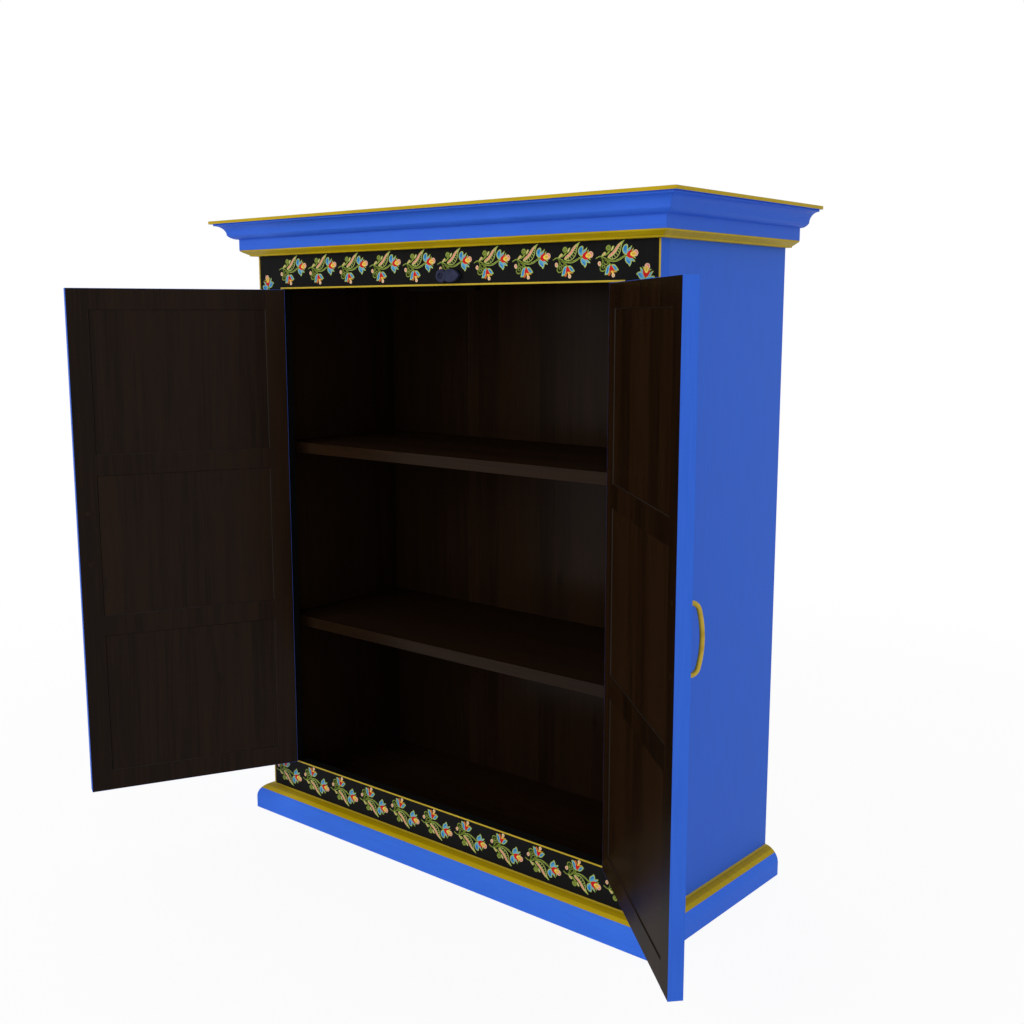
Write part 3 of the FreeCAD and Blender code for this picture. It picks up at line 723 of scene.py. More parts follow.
class Palette:
    """Every finish of the cupboard, made once."""

    GLOSS = {"paint": 0.1, "wood": 0.0, "stop": 0.01, "dry": 0.1, "black": 0.035, "iron": 0.1, "gilt": 0.2}
    VARNISH = {"doors": 0.145, "inside": 0.15}
    EASE = {"moulding": 0.6, "frame": 0.4, "thin": 0.5, "board": 0.8}  # how far arrises are rounded
    SIDE_SKIN = 0.5  # how deep the blue of an outer side reaches round its arris, in millimetres
    PLINTH_BAND = 41.7  # the gold band's lower edge on the plinth
    PLINTH_TURN = 47.3  # where the plinth's band turns from its lit face; above it the gold is painted darker, as painted shade
    PLINTH_ARRIS = 51.7  # where the plinth's top arris starts; above it a lighter gold is a painted highlight
    DOOR_BORDER = 0.4  # how far the doors' blue reaches on to their inner faces
    DOOR_REACH = (1.0, 400.0)  # the doors' near and far edges, from their pins
    DOOR_MIDDLE = 10.8  # the depth in a door at which its blue ends
    LEVEL_FACE = 0.9  # how far up or down a level face looks at least
    REAR_FACE = 0.5  # how far back a rear face looks at least
    DRAG = 0.7  # the size of the flower brush's marks
    POOL = 6.0  # the size of the places where its paint pools
    BRUSHED_ROUGHNESS = (0.34, 0.12, 0.1)  # its least roughness, and what drag and pools add to it
    BRUSHED_DEPTH = (0.02, 0.03)  # how deep drag and pools are

    def __init__(self) -> None:
        """Mix the finishes."""
        gloss, varnish, ease = self.GLOSS, self.VARNISH, self.EASE
        inside = {"gloss": gloss["wood"], "varnish": varnish["inside"]}
        self.blue = self.pair("blue_paint", whole(BLUE), ease["moulding"])
        self.gold = self.pair("gold_paint", whole(GOLD), ease["frame"])
        cap = parted(GOLD, BLUE, Grain.LEVEL, lambda spot: abs(spot.facing_z) < self.LEVEL_FACE)
        self.cap = self.pair("cap_paint", cap, ease["thin"])
        self.plinth = self.pair("plinth_paint", self.plinth_coat, ease["moulding"])
        stile = parted(BLUE, BLACK, Grain.UPRIGHT, self.outside)
        self.stile = self.pair("stile_paint", stile, ease["frame"], gloss["black"])
        # painted light: the sides' inner faces, the shelves and the back take the lighter stain
        side = parted(BLUE, LIT_INNER_STAIN, Grain.UPRIGHT, self.outside_or_behind)
        self.side = self.pair("side_paint", side, ease["frame"])
        self.shelf = self.pair("shelf_stain", whole(LIT_INNER_STAIN), ease["board"], **inside)
        # painted shade: the door stop takes the near-black stain
        self.stop = self.pair("stop_stain", whole(SHADED_STOP_STAIN), ease["board"], gloss["stop"])
        back = parted(LIT_INNER_STAIN, DRY_WOOD, Grain.UPRIGHT, lambda spot: spot.facing_y < self.REAR_FACE)
        self.back = self.pair("back_stain", back, ease["thin"], **inside)
        self.dry = self.pair("dry_wood", whole(DRY_WOOD), ease["board"], gloss["dry"])
        self.doors: dict[Side, Dress] = {}
        for hanging in HANGINGS:
            name = f"{hanging.side.word}_door_finish"
            door = parted(STAIN, BLUE, Grain.UPRIGHT, self.inner_face(hanging))
            self.doors[hanging.side] = self.pair(name, door, ease["frame"], gloss["wood"], varnish["doors"],
                                                 hanging)
        self.gilt = self.metal("gilt_metal", GILT, gloss["gilt"])
        self.navy_iron = self.metal("navy_iron", NAVY_IRON, gloss["iron"])
        # painted shade: dark_iron holds the darker copy of the iron, for the button's hollow and its screw
        self.dark_iron = self.metal("dark_iron", SHADED_IRON, gloss["iron"])
        self.black_iron = self.metal("black_iron", BLACK_IRON, gloss["iron"])
        fillet = Skin("fillet_varnish")
        # painted highlight: the fillets take the lighter stain along the panel joints
        wood = LIT_FILLET_STAIN.coat(fillet.spot, Grain.UPRIGHT)
        self.fillet = fillet.finish(wood, gloss["wood"], varnish["doors"])
        line = Skin("gold_line")
        self.gold_line = line.finish(GOLD_LINE.coat(line.spot, Grain.LEVEL), gloss["paint"])
        self.pigments = [self.pigment(colour) for colour in Pigment]

    def pair(self, name: str, coating: Coating, ease: float, gloss: float = GLOSS["paint"],
             varnish: float = 0.0, hanging: Hanging | None = None) -> Dress:
        """Make a finish and its rubbed form for the arrises.

        Args:
            name: The finish's name.
            coating: What gives the coat for a surface, worn or not.
            ease: How far the arrises are rounded, in millimetres.
            gloss: How strongly it mirrors.
            varnish: How much of it a thin varnish covers.
            hanging: How the door hangs that wears it, if any.

        Returns:
            The dress.
        """
        skins = []
        for worn in (False, True):
            skin = Skin(f"{name}_rubbed" if worn else name, hanging)
            skins.append(skin.finish(coating(skin.spot, worn), gloss, varnish))
        return Dress(skins[0], skins[1], ease)

    def metal(self, name: str, metal: Metal, gloss: float) -> bpy.types.Material:
        """Make a metal's material."""
        skin = Skin(name)
        return skin.finish(metal.coat(skin.spot), gloss)

    def plinth_coat(self, spot: Spot, worn: bool) -> Coat:
        """Paint the plinth in a lighter blue, as painted light from below, with a gold band that is painted
        darker where it turns in to the wall, as painted shade, and lighter on its top arris, as a painted
        highlight.

        Args:
            spot: Where the surface's points are.
            worn: Whether this is the rubbed arris of a piece.

        Returns:
            The plinth's coat.
        """
        gold = GOLD.coat(spot, Grain.LEVEL, worn)
        # painted shade: above the turn the band takes the darker gold
        gold = GOLD_SHADED.coat(spot, Grain.LEVEL, worn).over(gold, spot.z > self.PLINTH_TURN * MM)
        # painted highlight: the plinth's top arris takes the lighter gold of the lines
        gold = GOLD_LINE.coat(spot, Grain.LEVEL).over(gold, spot.z > self.PLINTH_ARRIS * MM)
        # painted light: the plinth's blue is the lighter copy
        return gold.over(LIT_PLINTH_BLUE.coat(spot, Grain.LEVEL, worn), spot.z > self.PLINTH_BAND * MM)

    def outside(self, spot: Spot) -> Value:
        """Give 1 on the cupboard's outer sides."""
        return abs(spot.x) > (FRAME_EDGE - self.SIDE_SKIN) * MM

    def outside_or_behind(self, spot: Spot) -> Value:
        """Give 1 on the cupboard's outer sides and on faces that look back."""
        return spot.graph.maths("MAXIMUM", self.outside(spot), spot.facing_y > self.REAR_FACE)

    def inner_face(self, hanging: Hanging) -> Callable[[Spot], Value]:
        """Part a door's stained inner face from its blue, which ends in a narrow border there.

        Args:
            hanging: How the door hangs.

        Returns:
            What gives 1 on the inner face.
        """
        near, far = (edge * MM for edge in self.DOOR_REACH)
        bottom, top = (edge * MM for edge in node_reach(f"{hanging.side.word}_door_hinge_stile", Z))

        def inner(spot: Spot) -> Value:
            """Part one surface of the door.

            Args:
                spot: Where the surface's points are.

            Returns:
                What is 1 on the inner face.
            """
            maths = spot.graph.maths
            reach = (spot.x - hanging.pin_x * MM) * -hanging.side.value
            sideways = maths("MINIMUM", reach - near, far - reach)
            border = maths("MINIMUM", sideways, maths("MINIMUM", spot.z - bottom, top - spot.z))
            depth = spot.y - hanging.pin_y * MM
            return (depth > self.DOOR_MIDDLE * MM) * (border > self.DOOR_BORDER * MM)
        return inner

    def pigment(self, pigment: Pigment) -> bpy.types.Material:
        """Make one of the flower painter's colours, even but for the brush's drag in its surface.

        Args:
            pigment: The colour.

        Returns:
            Its material.
        """
        skin = Skin(f"flower_{pigment.name.lower()}")
        drag = skin.noise(skin.spot.point, self.DRAG, 3.0)
        pool = skin.noise(skin.spot.point, self.POOL)
        least, from_drag, from_pool = self.BRUSHED_ROUGHNESS
        roughness = least + drag * from_drag + pool * from_pool
        height = (drag * self.BRUSHED_DEPTH[0] + pool * self.BRUSHED_DEPTH[1]) * MM
        return skin.finish(Coat(linear(pigment.value), roughness, height), self.GLOSS["paint"])


Ring = list[bmesh.types.BMVert]


class Shape:
    """A mesh under construction, in millimetres in the cupboard's own frame."""

    SHARP_TURN = math.radians(38)  # faces that turn by more than this meet in a sharp edge

    def __init__(self) -> None:
        """Start with nothing."""
        self.mesh = bmesh.new()

    def ring(self, points: Sequence[Place]) -> Ring:
        """Add a ring of points."""
        return [self.mesh.verts.new(Vector(point) * MM) for point in points]

    def bridge(self, first: Ring, second: Ring, slot: int = 0) -> None:
        """Join two rings of as many points with faces.

        Args:
            first: One ring.
            second: The other.
            slot: The faces' material slot.
        """
        for number, corner in enumerate(first):
            face = self.mesh.faces.new((first[number - 1], corner, second[number], second[number - 1]))
            face.material_index = slot

    def cap(self, ring: Ring, slot: int = 0) -> None:
        """Close a ring with one face."""
        self.mesh.faces.new(ring).material_index = slot

    def stack(self, rings: Sequence[Sequence[Place]], slot: int = 0) -> None:
        """Join rings one after another into a closed form.

        Args:
            rings: The rings' points, each with as many.
            slot: The faces' material slot.
        """
        made = [self.ring(points) for points in rings]
        for first, second in zip(made, made[1:]):
            self.bridge(first, second, slot)
        self.cap(made[0], slot)
        self.cap(made[-1], slot)

    def place(self, name: str, body: str, slot: Slot, materials: Sequence[bpy.types.Material],
              move: Matrix | None = None) -> bpy.types.Object:
        """Make the shape a piece that rides on a body.

        Args:
            name: The piece's name.
            body: The body that it rides on.
            slot: The record's material slot; not used.
            materials: Its materials in the order of their slots.
            move: The move to where it stands, if any.

        Returns:
            The piece.
        """
        if move:
            bmesh.ops.transform(self.mesh, matrix=move, verts=self.mesh.verts)
        bmesh.ops.recalc_face_normals(self.mesh, faces=self.mesh.faces)
        for face in self.mesh.faces:
            face.smooth = True
        data = bpy.data.meshes.new(name)
        self.mesh.to_mesh(data)
        self.mesh.free()
        data.set_sharp_from_angle(angle=self.SHARP_TURN)
        for material in materials:
            data.materials.append(material)
        piece = bpy.data.objects.new(name, data)
        bpy.context.scene.collection.objects.link(piece)
        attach(piece, body)
        LOG.info("built %s with %d faces", name, len(data.polygons))
        return piece


def smooth_line(points: Sequence[Point], steps: int = 4) -> list[Point]:
    """Draw a smooth line through points.

    Args:
        points: The points that it goes through.
        steps: How many short runs lie between two of them.

    Returns:
        The line's points.
    """
    line = []
    last = len(points) - 1
    for number in range(last):
        ends = [points[min(max(number + shift, 0), last)] for shift in (-1, 0, 1, 2)]
        for step in range(steps):
            t = step / steps
            square, cube = t * t, t ** 3
            weights = (-t + 2 * square - cube, 2 - 5 * square + 3 * cube,
                       t + 4 * square - 3 * cube, cube - square)
            line.append(tuple(sum(w * end[axis] for w, end in zip(weights, ends)) / 2 for axis in (0, 1)))
    return line + [tuple(points[-1])]


CORNER_LIMIT = 0.55  # the least cosine of half a corner's turn that an inset follows in full


def inset(outline: Sequence[Point], by: float) -> list[Point]:
    """Draw an outline smaller by a margin.

    Args:
        outline: A closed outline, anticlockwise.
        by: The margin.

    Returns:
        As many points, moved inwards.
    """
    moved = []
    for number, here in enumerate(outline):
        before, after = Vector(outline[number - 1]), Vector(outline[(number + 1) % len(outline)])
        runs = [(Vector(here) - before).normalized(), (after - Vector(here)).normalized()]
        inward = [Vector((-run.y, run.x)) for run in runs]
        middle = (inward[0] + inward[1]).normalized()
        corner = max(CORNER_LIMIT, middle.dot(inward[0]))
        moved.append(tuple(Vector(here) + middle * (by / corner)))
    return moved


def smooth_ring(points: Sequence[Point], steps: int = 3) -> list[Point]:
    """Draw a smooth closed outline through points, with so many short runs between two of them."""
    line = smooth_line([points[-1], *points, points[0], points[1]], steps)
    return line[steps:steps * (len(points) + 1)]


@dataclass(frozen=True)
class Dab:
    """One brush mark: its outline in millimetres and its colour."""

    outline: list[Point]
    pigment: Pigment


class Spray:
    """One spray of two tulips, a pod and buds on a stem, in millimetres from the stem's tip."""

    LARGE_DOT = 2.0  # the radius above which a dot gets more sides
    LARGE_SIDES = 16
    SMALL_SIDES = 9

    def __init__(self) -> None:
        """Paint the spray, each mark over those before it."""
        self.dabs: list[Dab] = []
        self.stems()
        self.curls()
        self.pod()
        self.buds()
        self.open_tulip()
        self.hanging_tulip()

    def mark(self, outline: Sequence[Point], pigment: Pigment) -> None:
        """Keep a brush mark, with its outline anticlockwise."""
        turns = sum(a[0] * b[1] - b[0] * a[1] for a, b in zip(outline, [*outline[1:], outline[0]]))
        self.dabs.append(Dab(list(outline if turns > 0 else outline[::-1]), pigment))

    def blot(self, pigment: Pigment, *points: Point) -> None:
        """Fill a smooth outline."""
        self.mark(smooth_ring(points), pigment)

    def stroke(self, pigment: Pigment, start: float, end: float, *points: Point) -> None:
        """Pull the brush along a line.

        Args:
            pigment: The stroke's colour.
            start: Its width where it starts.
            end: Its width where it ends.
            points: The points that the line goes through.
        """
        line = [Vector(point) for point in smooth_line(points, 3)]
        left, right = [], []
        for number, point in enumerate(line):
            run = (line[min(number + 1, len(line) - 1)] - line[max(number - 1, 0)]).normalized()
            half = (start + (end - start) * number / (len(line) - 1)) / 2
            left.append(tuple(point + Vector((-run.y, run.x)) * half))
            right.append(tuple(point - Vector((-run.y, run.x)) * half))
        self.mark(left + right[::-1], pigment)

    def dot(self, pigment: Pigment, radius: float, *centres: Point) -> None:
        """Touch the brush down once at each centre.

        Args:
            pigment: The dots' colour.
            radius: Their radius.
            centres: Their middles.
        """
        sides = self.LARGE_SIDES if radius > self.LARGE_DOT else self.SMALL_SIDES
        angles = [math.tau * number / sides for number in range(sides)]
        for u, v in centres:
            self.mark([(u + radius * math.cos(a), v + radius * math.sin(a)) for a in angles], pigment)

    def stems(self) -> None:
        """Paint the main stem and its shoots, dark, with pale edges."""
        self.stroke(Pigment.OLIVE, 1.8, 3.2, (-1, -0.8), (3.2, 1.2), (6.5, 2.2), (10, 2.1), (14.5, 0.4),
                    (19.5, -2.0), (25, -3.7), (31, -4.6), (36, -4.7), (41, -3.7), (46, -1.7), (51, 0.9),
                    (55, 2.4), (58.5, 3.3))
        self.stroke(Pigment.OLIVE, 2.8, 2.2, (18.5, -2.2), (22.5, -5.0), (25.5, -7.8), (28.2, -11.0))
        self.stroke(Pigment.OLIVE, 2.0, 2.4, (9.5, 1.6), (11.6, -1.5), (12.2, -5.0), (11.0, -8.5),
                    (9.0, -12.0))
        self.stroke(Pigment.LEAF, 1.5, 3.4, (16.5, 3.4), (20.5, 5.8), (24.0, 8.6), (26.2, 11.6))
        self.stroke(Pigment.SPRING, 0.9, 0.8, (-0.6, -0.5), (3.2, 1.7), (6.5, 2.8), (10, 2.7), (14.5, 1.1),
                    (19.5, -1.2))
        self.stroke(Pigment.SPRING, 0.9, 0.8, (24, -4.6), (31, -5.7), (36, -5.8), (41, -4.9), (46, -2.9),
                    (51, -0.2), (55, 1.4))
        self.stroke(Pigment.SPRING, 0.8, 0.8, (38, -3.1), (42, -2.2), (47, 0.0), (52, 2.3), (57, 4.0))
        self.stroke(Pigment.LEAF, 0.9, 0.7, (18.0, -3.4), (21.5, -6.2), (25.0, -9.6))
        self.stroke(Pigment.SPRING, 0.7, 0.8, (18.5, 5.2), (22.0, 7.6), (25.2, 10.6))

    def curls(self) -> None:
        """Paint the tendrils that wind in."""
        coil_u, coil_v, coil_reach = 23.4, 14.5, 4.5
        first_turn, next_turn, wind_in, winds = 205, 38, 0.3, 13
        self.dot(Pigment.OLIVE, 5.3, (coil_u, coil_v))
        spiral = []
        for number in range(winds):
            angle, reach = math.radians(first_turn - next_turn * number), coil_reach - wind_in * number
            spiral.append((coil_u + reach * math.cos(angle), coil_v + reach * math.sin(angle)))
        self.stroke(Pigment.SPRING, 1.3, 0.9, *spiral)
        self.stroke(Pigment.OLIVE, 2.6, 1.8, (12.2, -5.0), (11.2, -9.0), (8.8, -12.6), (7.9, -16.2),
                    (9.6, -19.0), (13.0, -19.8), (16.4, -18.5), (17.8, -15.4), (16.6, -12.2), (14.0, -10.8),
                    (11.8, -12.8), (12.6, -15.4), (15.2, -14.8))
        self.stroke(Pigment.SPRING, 0.8, 0.8, (7.4, -16.0), (9.2, -19.4), (13.0, -20.4), (16.9, -19.0))
        self.stroke(Pigment.SPRING, 1.0, 0.8, (11.8, -13.4), (12.6, -11.2), (14.4, -10.6), (16.4, -12.4),
                    (16.2, -14.8))
        self.stroke(Pigment.OLIVE, 2.0, 1.6, (13.4, -2.6), (14.2, -6.2), (17.0, -9.2), (20.6, -9.6),
                    (21.4, -7.0), (19.0, -4.2), (15.6, -3.0))
        self.stroke(Pigment.SPRING, 0.8, 0.7, (15.0, -7.4), (17.4, -9.8), (20.6, -10.2), (21.9, -7.6))

    def pod(self) -> None:
        """Paint the long pod: pale rim, pink flesh on one side, black cells and green bars on the other."""
        self.blot(Pigment.SPRING, (21.4, 0.4), (23.4, 3.9), (27.0, 6.6), (29.4, 8.2), (33.6, 12.2),
                  (37.2, 16.7), (41.6, 20.8), (46.0, 23.4), (52.8, 26.2), (50.0, 21.8), (48.0, 18.4),
                  (46.9, 14.0), (46.0, 9.8), (44.0, 5.4), (41.0, 1.6), (37.4, -1.0), (33.2, -2.6),
                  (28.6, -2.6), (24.6, -1.4))
        self.blot(Pigment.INK, (25.8, -0.4), (29.5, -1.6), (33.3, -1.6), (37.2, 0.0), (40.6, 2.5),
                  (43.2, 6.1), (45.0, 10.1), (46.0, 14.2), (46.7, 18.0), (44.7, 17.9), (42.3, 14.9),
                  (39.9, 11.4), (37.1, 7.7), (33.9, 4.7), (30.3, 2.2), (27.4, 0.8))
        bars = (((30.2, 1.8), (31.3, -1.8)), ((34.0, 4.4), (36.4, 0.4)), ((37.4, 7.6), (40.4, 3.8)),
                ((40.0, 10.9), (43.3, 7.9)), ((41.9, 13.8), (45.0, 11.9)), ((43.8, 16.6), (46.0, 15.4)))
        for inner, outer in bars:
            self.stroke(Pigment.SPRING, 1.0, 1.6, inner, outer)
        self.blot(Pigment.PINK, (22.4, 0.9), (24.0, 3.6), (27.4, 6.1), (29.7, 7.7), (33.9, 11.7),
                  (37.5, 16.2), (41.9, 20.1), (46.8, 22.4), (44.7, 18.8), (41.4, 14.8), (38.6, 11.0),
                  (35.1, 7.2), (30.9, 3.9), (26.6, 1.7))
        flecks = (((25.4, 2.7), (28.4, 4.9)), ((30.4, 6.2), (32.8, 8.6)), ((34.4, 10.2), (36.6, 12.8)),
                  ((38.2, 14.6), (40.2, 17.0)))
        for start, end in flecks:
            self.stroke(Pigment.ROSE, 1.9, 1.4, start, end)

    def buds(self) -> None:
        """Paint the three pale buds with their green rims."""
        self.blot(Pigment.SPRING, (9.8, 2.6), (11.6, 6.0), (15.4, 9.2), (18.0, 8.7), (18.8, 6.4),
                  (15.6, 3.8), (12.6, 2.4))
        self.blot(Pigment.PINK, (11.8, 3.6), (13.0, 5.8), (15.6, 8.2), (17.0, 7.6), (16.8, 5.8),
                  (14.4, 4.2))
        self.blot(Pigment.SPRING, (27.8, 10.2), (28.6, 14.0), (30.4, 17.2), (32.6, 18.0), (33.6, 16.0),
                  (31.8, 12.8), (29.8, 10.6))
        self.blot(Pigment.CREAM, (28.8, 11.6), (29.4, 14.4), (31.0, 16.6), (32.2, 15.8), (30.8, 12.8))
        self.blot(Pigment.CREAM, (8.6, -11.6), (9.3, -8.4), (8.2, -5.4), (6.2, -4.5), (4.0, -5.8),
                  (3.1, -8.4), (4.4, -11.0), (6.6, -12.1))
        self.blot(Pigment.PINK, (7.6, -10.8), (8.3, -8.4), (7.4, -6.2), (5.9, -5.7), (4.6, -6.8),
                  (4.3, -8.6), (5.2, -10.4))
        self.dot(Pigment.RUST, 1.1, (6.9, -8.2))

    def open_tulip(self) -> None:
        """Paint the tulip that stands open at the stem's end."""
        self.blot(Pigment.SPRING, (57.4, 7.0), (58.2, 11.4), (60.2, 13.4), (63.2, 15.0), (66.6, 17.6),
                  (66.0, 14.0), (64.2, 10.8), (61.2, 7.4))
        self.blot(Pigment.SKY, (58.2, 7.6), (59.0, 10.9), (61.0, 12.5), (63.6, 14.0), (65.2, 15.4),
                  (64.8, 13.2), (63.2, 10.8), (60.8, 8.2))
        self.blot(Pigment.SPRING, (57.2, 3.4), (52.8, 4.4), (49.8, 7.4), (48.7, 11.4), (49.8, 15.6),
                  (53.0, 18.8), (56.8, 20.0), (59.2, 18.2), (59.4, 15.2), (59.0, 11.6), (58.8, 7.4))
        self.blot(Pigment.SKY, (57.0, 4.8), (53.4, 5.7), (50.9, 8.2), (49.9, 11.4), (50.8, 15.0),
                  (53.4, 17.7), (56.6, 18.8), (58.1, 17.2), (58.3, 14.8), (58.0, 11.2), (57.9, 7.6))
        self.blot(Pigment.SHADOW, (53.6, 9.2), (51.6, 12.2), (52.6, 15.6), (55.2, 17.6), (57.0, 16.2),
                  (57.0, 12.8), (55.8, 10.0))
        self.blot(Pigment.SPRING, (62.0, -1.2), (65.2, -5.2), (69.0, -6.6), (73.0, -7.2), (71.2, -3.9),
                  (68.4, -1.9), (65.0, 0.0))
        self.blot(Pigment.SKY, (63.0, -1.6), (65.8, -4.6), (69.0, -5.7), (71.2, -6.0), (70.2, -4.1),
                  (67.8, -2.5), (65.2, -1.0))
        self.blot(Pigment.SPRING, (55.6, 1.6), (53.9, -1.6), (54.4, -5.2), (56.8, -8.6), (60.4, -11.0),
                  (62.6, -13.9), (65.2, -11.4), (66.4, -7.6), (65.8, -3.6), (62.0, -0.6), (58.4, 1.2))
        self.blot(Pigment.SKY, (56.2, 0.6), (55.0, -2.0), (55.6, -4.9), (57.8, -7.9), (61.2, -10.2),
                  (62.8, -12.2), (64.2, -10.4), (65.2, -7.4), (64.6, -3.8), (61.4, -1.2), (58.4, 0.4))
        self.stroke(Pigment.SHADOW, 1.6, 3.2, (57.4, -4.0), (60.2, -6.4), (63.0, -9.2))
        self.blot(Pigment.SPRING, (66.0, 9.4), (67.4, 11.6), (69.5, 14.0), (69.5, 11.4), (69.0, 9.4),
                  (67.6, 8.2))
        self.blot(Pigment.ORANGE, (66.8, 9.4), (67.8, 11.2), (68.9, 12.4), (68.8, 10.8), (68.2, 9.4))
        self.blot(Pigment.SPRING, (67.2, 0.6), (70.4, -1.1), (74.0, -2.6), (72.4, 0.1), (70.4, 1.9))
        self.blot(Pigment.ORANGE, (68.2, 0.6), (70.6, -0.5), (72.6, -1.5), (71.6, 0.1), (70.2, 1.2))
        self.dot(Pigment.CREAM, 5.2, (73.3, 5.9))
        self.dot(Pigment.PINK, 4.5, (73.5, 6.0))
        self.blot(Pigment.ROSE, (72.6, 8.8), (75.2, 8.9), (76.8, 7.2), (76.2, 5.6), (74.6, 7.2))
        self.blot(Pigment.YELLOW, (63.4, 4.2), (65.4, 7.2), (69.0, 8.3), (72.6, 7.5), (74.6, 5.3),
                  (73.6, 2.8), (70.4, 1.4), (66.0, 1.5))
        self.blot(Pigment.ORANGE, (66.5, 4.7), (68.0, 6.7), (71.1, 7.1), (73.7, 5.6), (73.3, 3.5),
                  (70.8, 2.6), (68.0, 2.9))
        self.blot(Pigment.RED, (57.6, 3.6), (58.6, 6.8), (61.2, 9.2), (64.8, 10.6), (68.6, 10.7),
                  (66.6, 8.4), (64.6, 6.6), (63.8, 4.2), (64.8, 2.1), (67.4, 0.9), (70.0, -0.4),
                  (67.2, -1.5), (63.4, -1.6), (60.2, -0.4), (58.2, 1.4))

    def hanging_tulip(self) -> None:
        """Paint the smaller tulip that hangs under the stem."""
        self.blot(Pigment.SPRING, (27.4, -10.2), (23.6, -10.2), (20.4, -12.8), (18.5, -17.4), (17.2, -22.4),
                  (16.6, -25.6), (20.2, -25.9), (23.7, -24.2), (25.7, -20.2), (26.4, -15.4))
        self.blot(Pigment.SKY, (26.8, -11.3), (24.0, -11.3), (21.4, -13.6), (19.7, -17.8), (18.5, -22.2),
                  (18.0, -24.6), (20.4, -24.8), (23.0, -23.2), (24.7, -19.6), (25.6, -15.2))
        self.stroke(Pigment.SHADOW, 2.4, 3.4, (22.8, -14.2), (21.9, -18.8), (20.9, -22.6))
        self.blot(Pigment.SPRING, (28.6, -10.4), (31.0, -9.7), (34.4, -9.8), (38.0, -12.2), (40.8, -15.6),
                  (42.8, -18.5), (39.6, -20.4), (35.8, -19.6), (33.0, -16.8), (30.8, -13.4))
        self.blot(Pigment.SKY, (30.6, -11.0), (33.9, -11.0), (37.0, -13.0), (39.5, -16.0), (41.2, -18.2),
                  (39.0, -19.2), (36.2, -18.5), (33.6, -16.2), (31.6, -13.2))
        self.stroke(Pigment.SHADOW, 2.4, 2.4, (33.2, -13.0), (35.6, -14.9), (38.2, -17.4))
        self.blot(Pigment.ORANGE, (33.4, -18.8), (36.4, -20.2), (39.6, -21.0), (38.0, -22.2), (35.0, -21.6),
                  (33.2, -20.6))
        self.blot(Pigment.RUST, (26.0, -19.0), (24.6, -22.2), (22.6, -25.6), (24.4, -27.4), (27.0, -25.8),
                  (28.2, -22.4), (28.6, -19.0))
        self.blot(Pigment.ORANGE, (28.4, -18.2), (29.4, -22.4), (30.6, -25.6), (33.8, -25.6), (34.6, -23.4),
                  (33.4, -20.4), (31.6, -18.2))
        self.dot(Pigment.CREAM, 3.2, (32.8, -26.6))
        self.dot(Pigment.PINK, 1.8, (33.1, -26.8))
        self.stroke(Pigment.YELLOW, 2.0, 1.4, (29.8, -19.6), (30.8, -22.4), (31.6, -24.0))
        self.blot(Pigment.RED, (28.2, -10.9), (26.0, -13.8), (25.2, -17.6), (25.9, -21.2), (28.2, -19.6),
                  (31.0, -19.6), (33.8, -20.0), (33.4, -16.8), (31.4, -13.6), (29.6, -11.2))
        self.stroke(Pigment.LEAF, 1.6, 1.0, (25.4, -9.0), (28.2, -10.4), (30.6, -9.8))


@dataclass(frozen=True)
class Standing:
    """Where a spray stands on the face frame: its stem's tip in x and z, and the way its two axes run."""

    tip: Point
    along: Point
    up: Point

    def at(self, point: Point, rise: float) -> Place:
        """Find a place of the spray on the cupboard.

        Args:
            point: The place on the spray.
            rise: How far it stands off the wood.

        Returns:
            The place in the cupboard's frame.
        """
        x = self.tip[0] + point[0] * self.along[0] + point[1] * self.up[0]
        z = self.tip[1] + point[0] * self.along[1] + point[1] * self.up[1]
        return (x, FRONT - rise, z)


class Relief(Shape):
    """Brush marks laid on the face frame's front as low relief."""

    SINK = 0.04  # how far a mark reaches into the wood
    FIRST = 0.1  # how far the first mark stands off the wood
    STEP = 0.004  # how much further each mark stands than the one before it
    SLOPE = 0.22  # the width of a mark's rounded rim

    def lay(self, outline: list[Point], standing: Standing, slot: int, order: int) -> None:
        """Lay one mark.

        Args:
            outline: The mark's outline.
            standing: Where its spray stands.
            slot: The material slot of its colour.
            order: How many marks came before it.
        """
        rim = [standing.at(point, -self.SINK) for point in outline]
        rise = self.FIRST + self.STEP * order
        top = [standing.at(point, rise) for point in inset(outline, self.SLOPE)]
        self.stack([rim, top], slot)


@dataclass(frozen=True)
class FlowerBorder:
    """A run of painted sprays on the face frame."""

    name: str
    standings: tuple[Standing, ...]

    def build(self, spray: Spray, palette: Palette) -> bpy.types.Object:
        """Paint the run.

        Args:
            spray: The spray that it repeats.
            palette: The finishes.

        Returns:
            The border.
        """
        relief = Relief()
        colours = list(Pigment)
        for standing in self.standings:
            for order, dab in enumerate(spray.dabs):
                relief.lay(dab.outline, standing, colours.index(dab.pigment), order)
        return relief.place(self.name, "carcass", Slot.BLACK, palette.pigments)


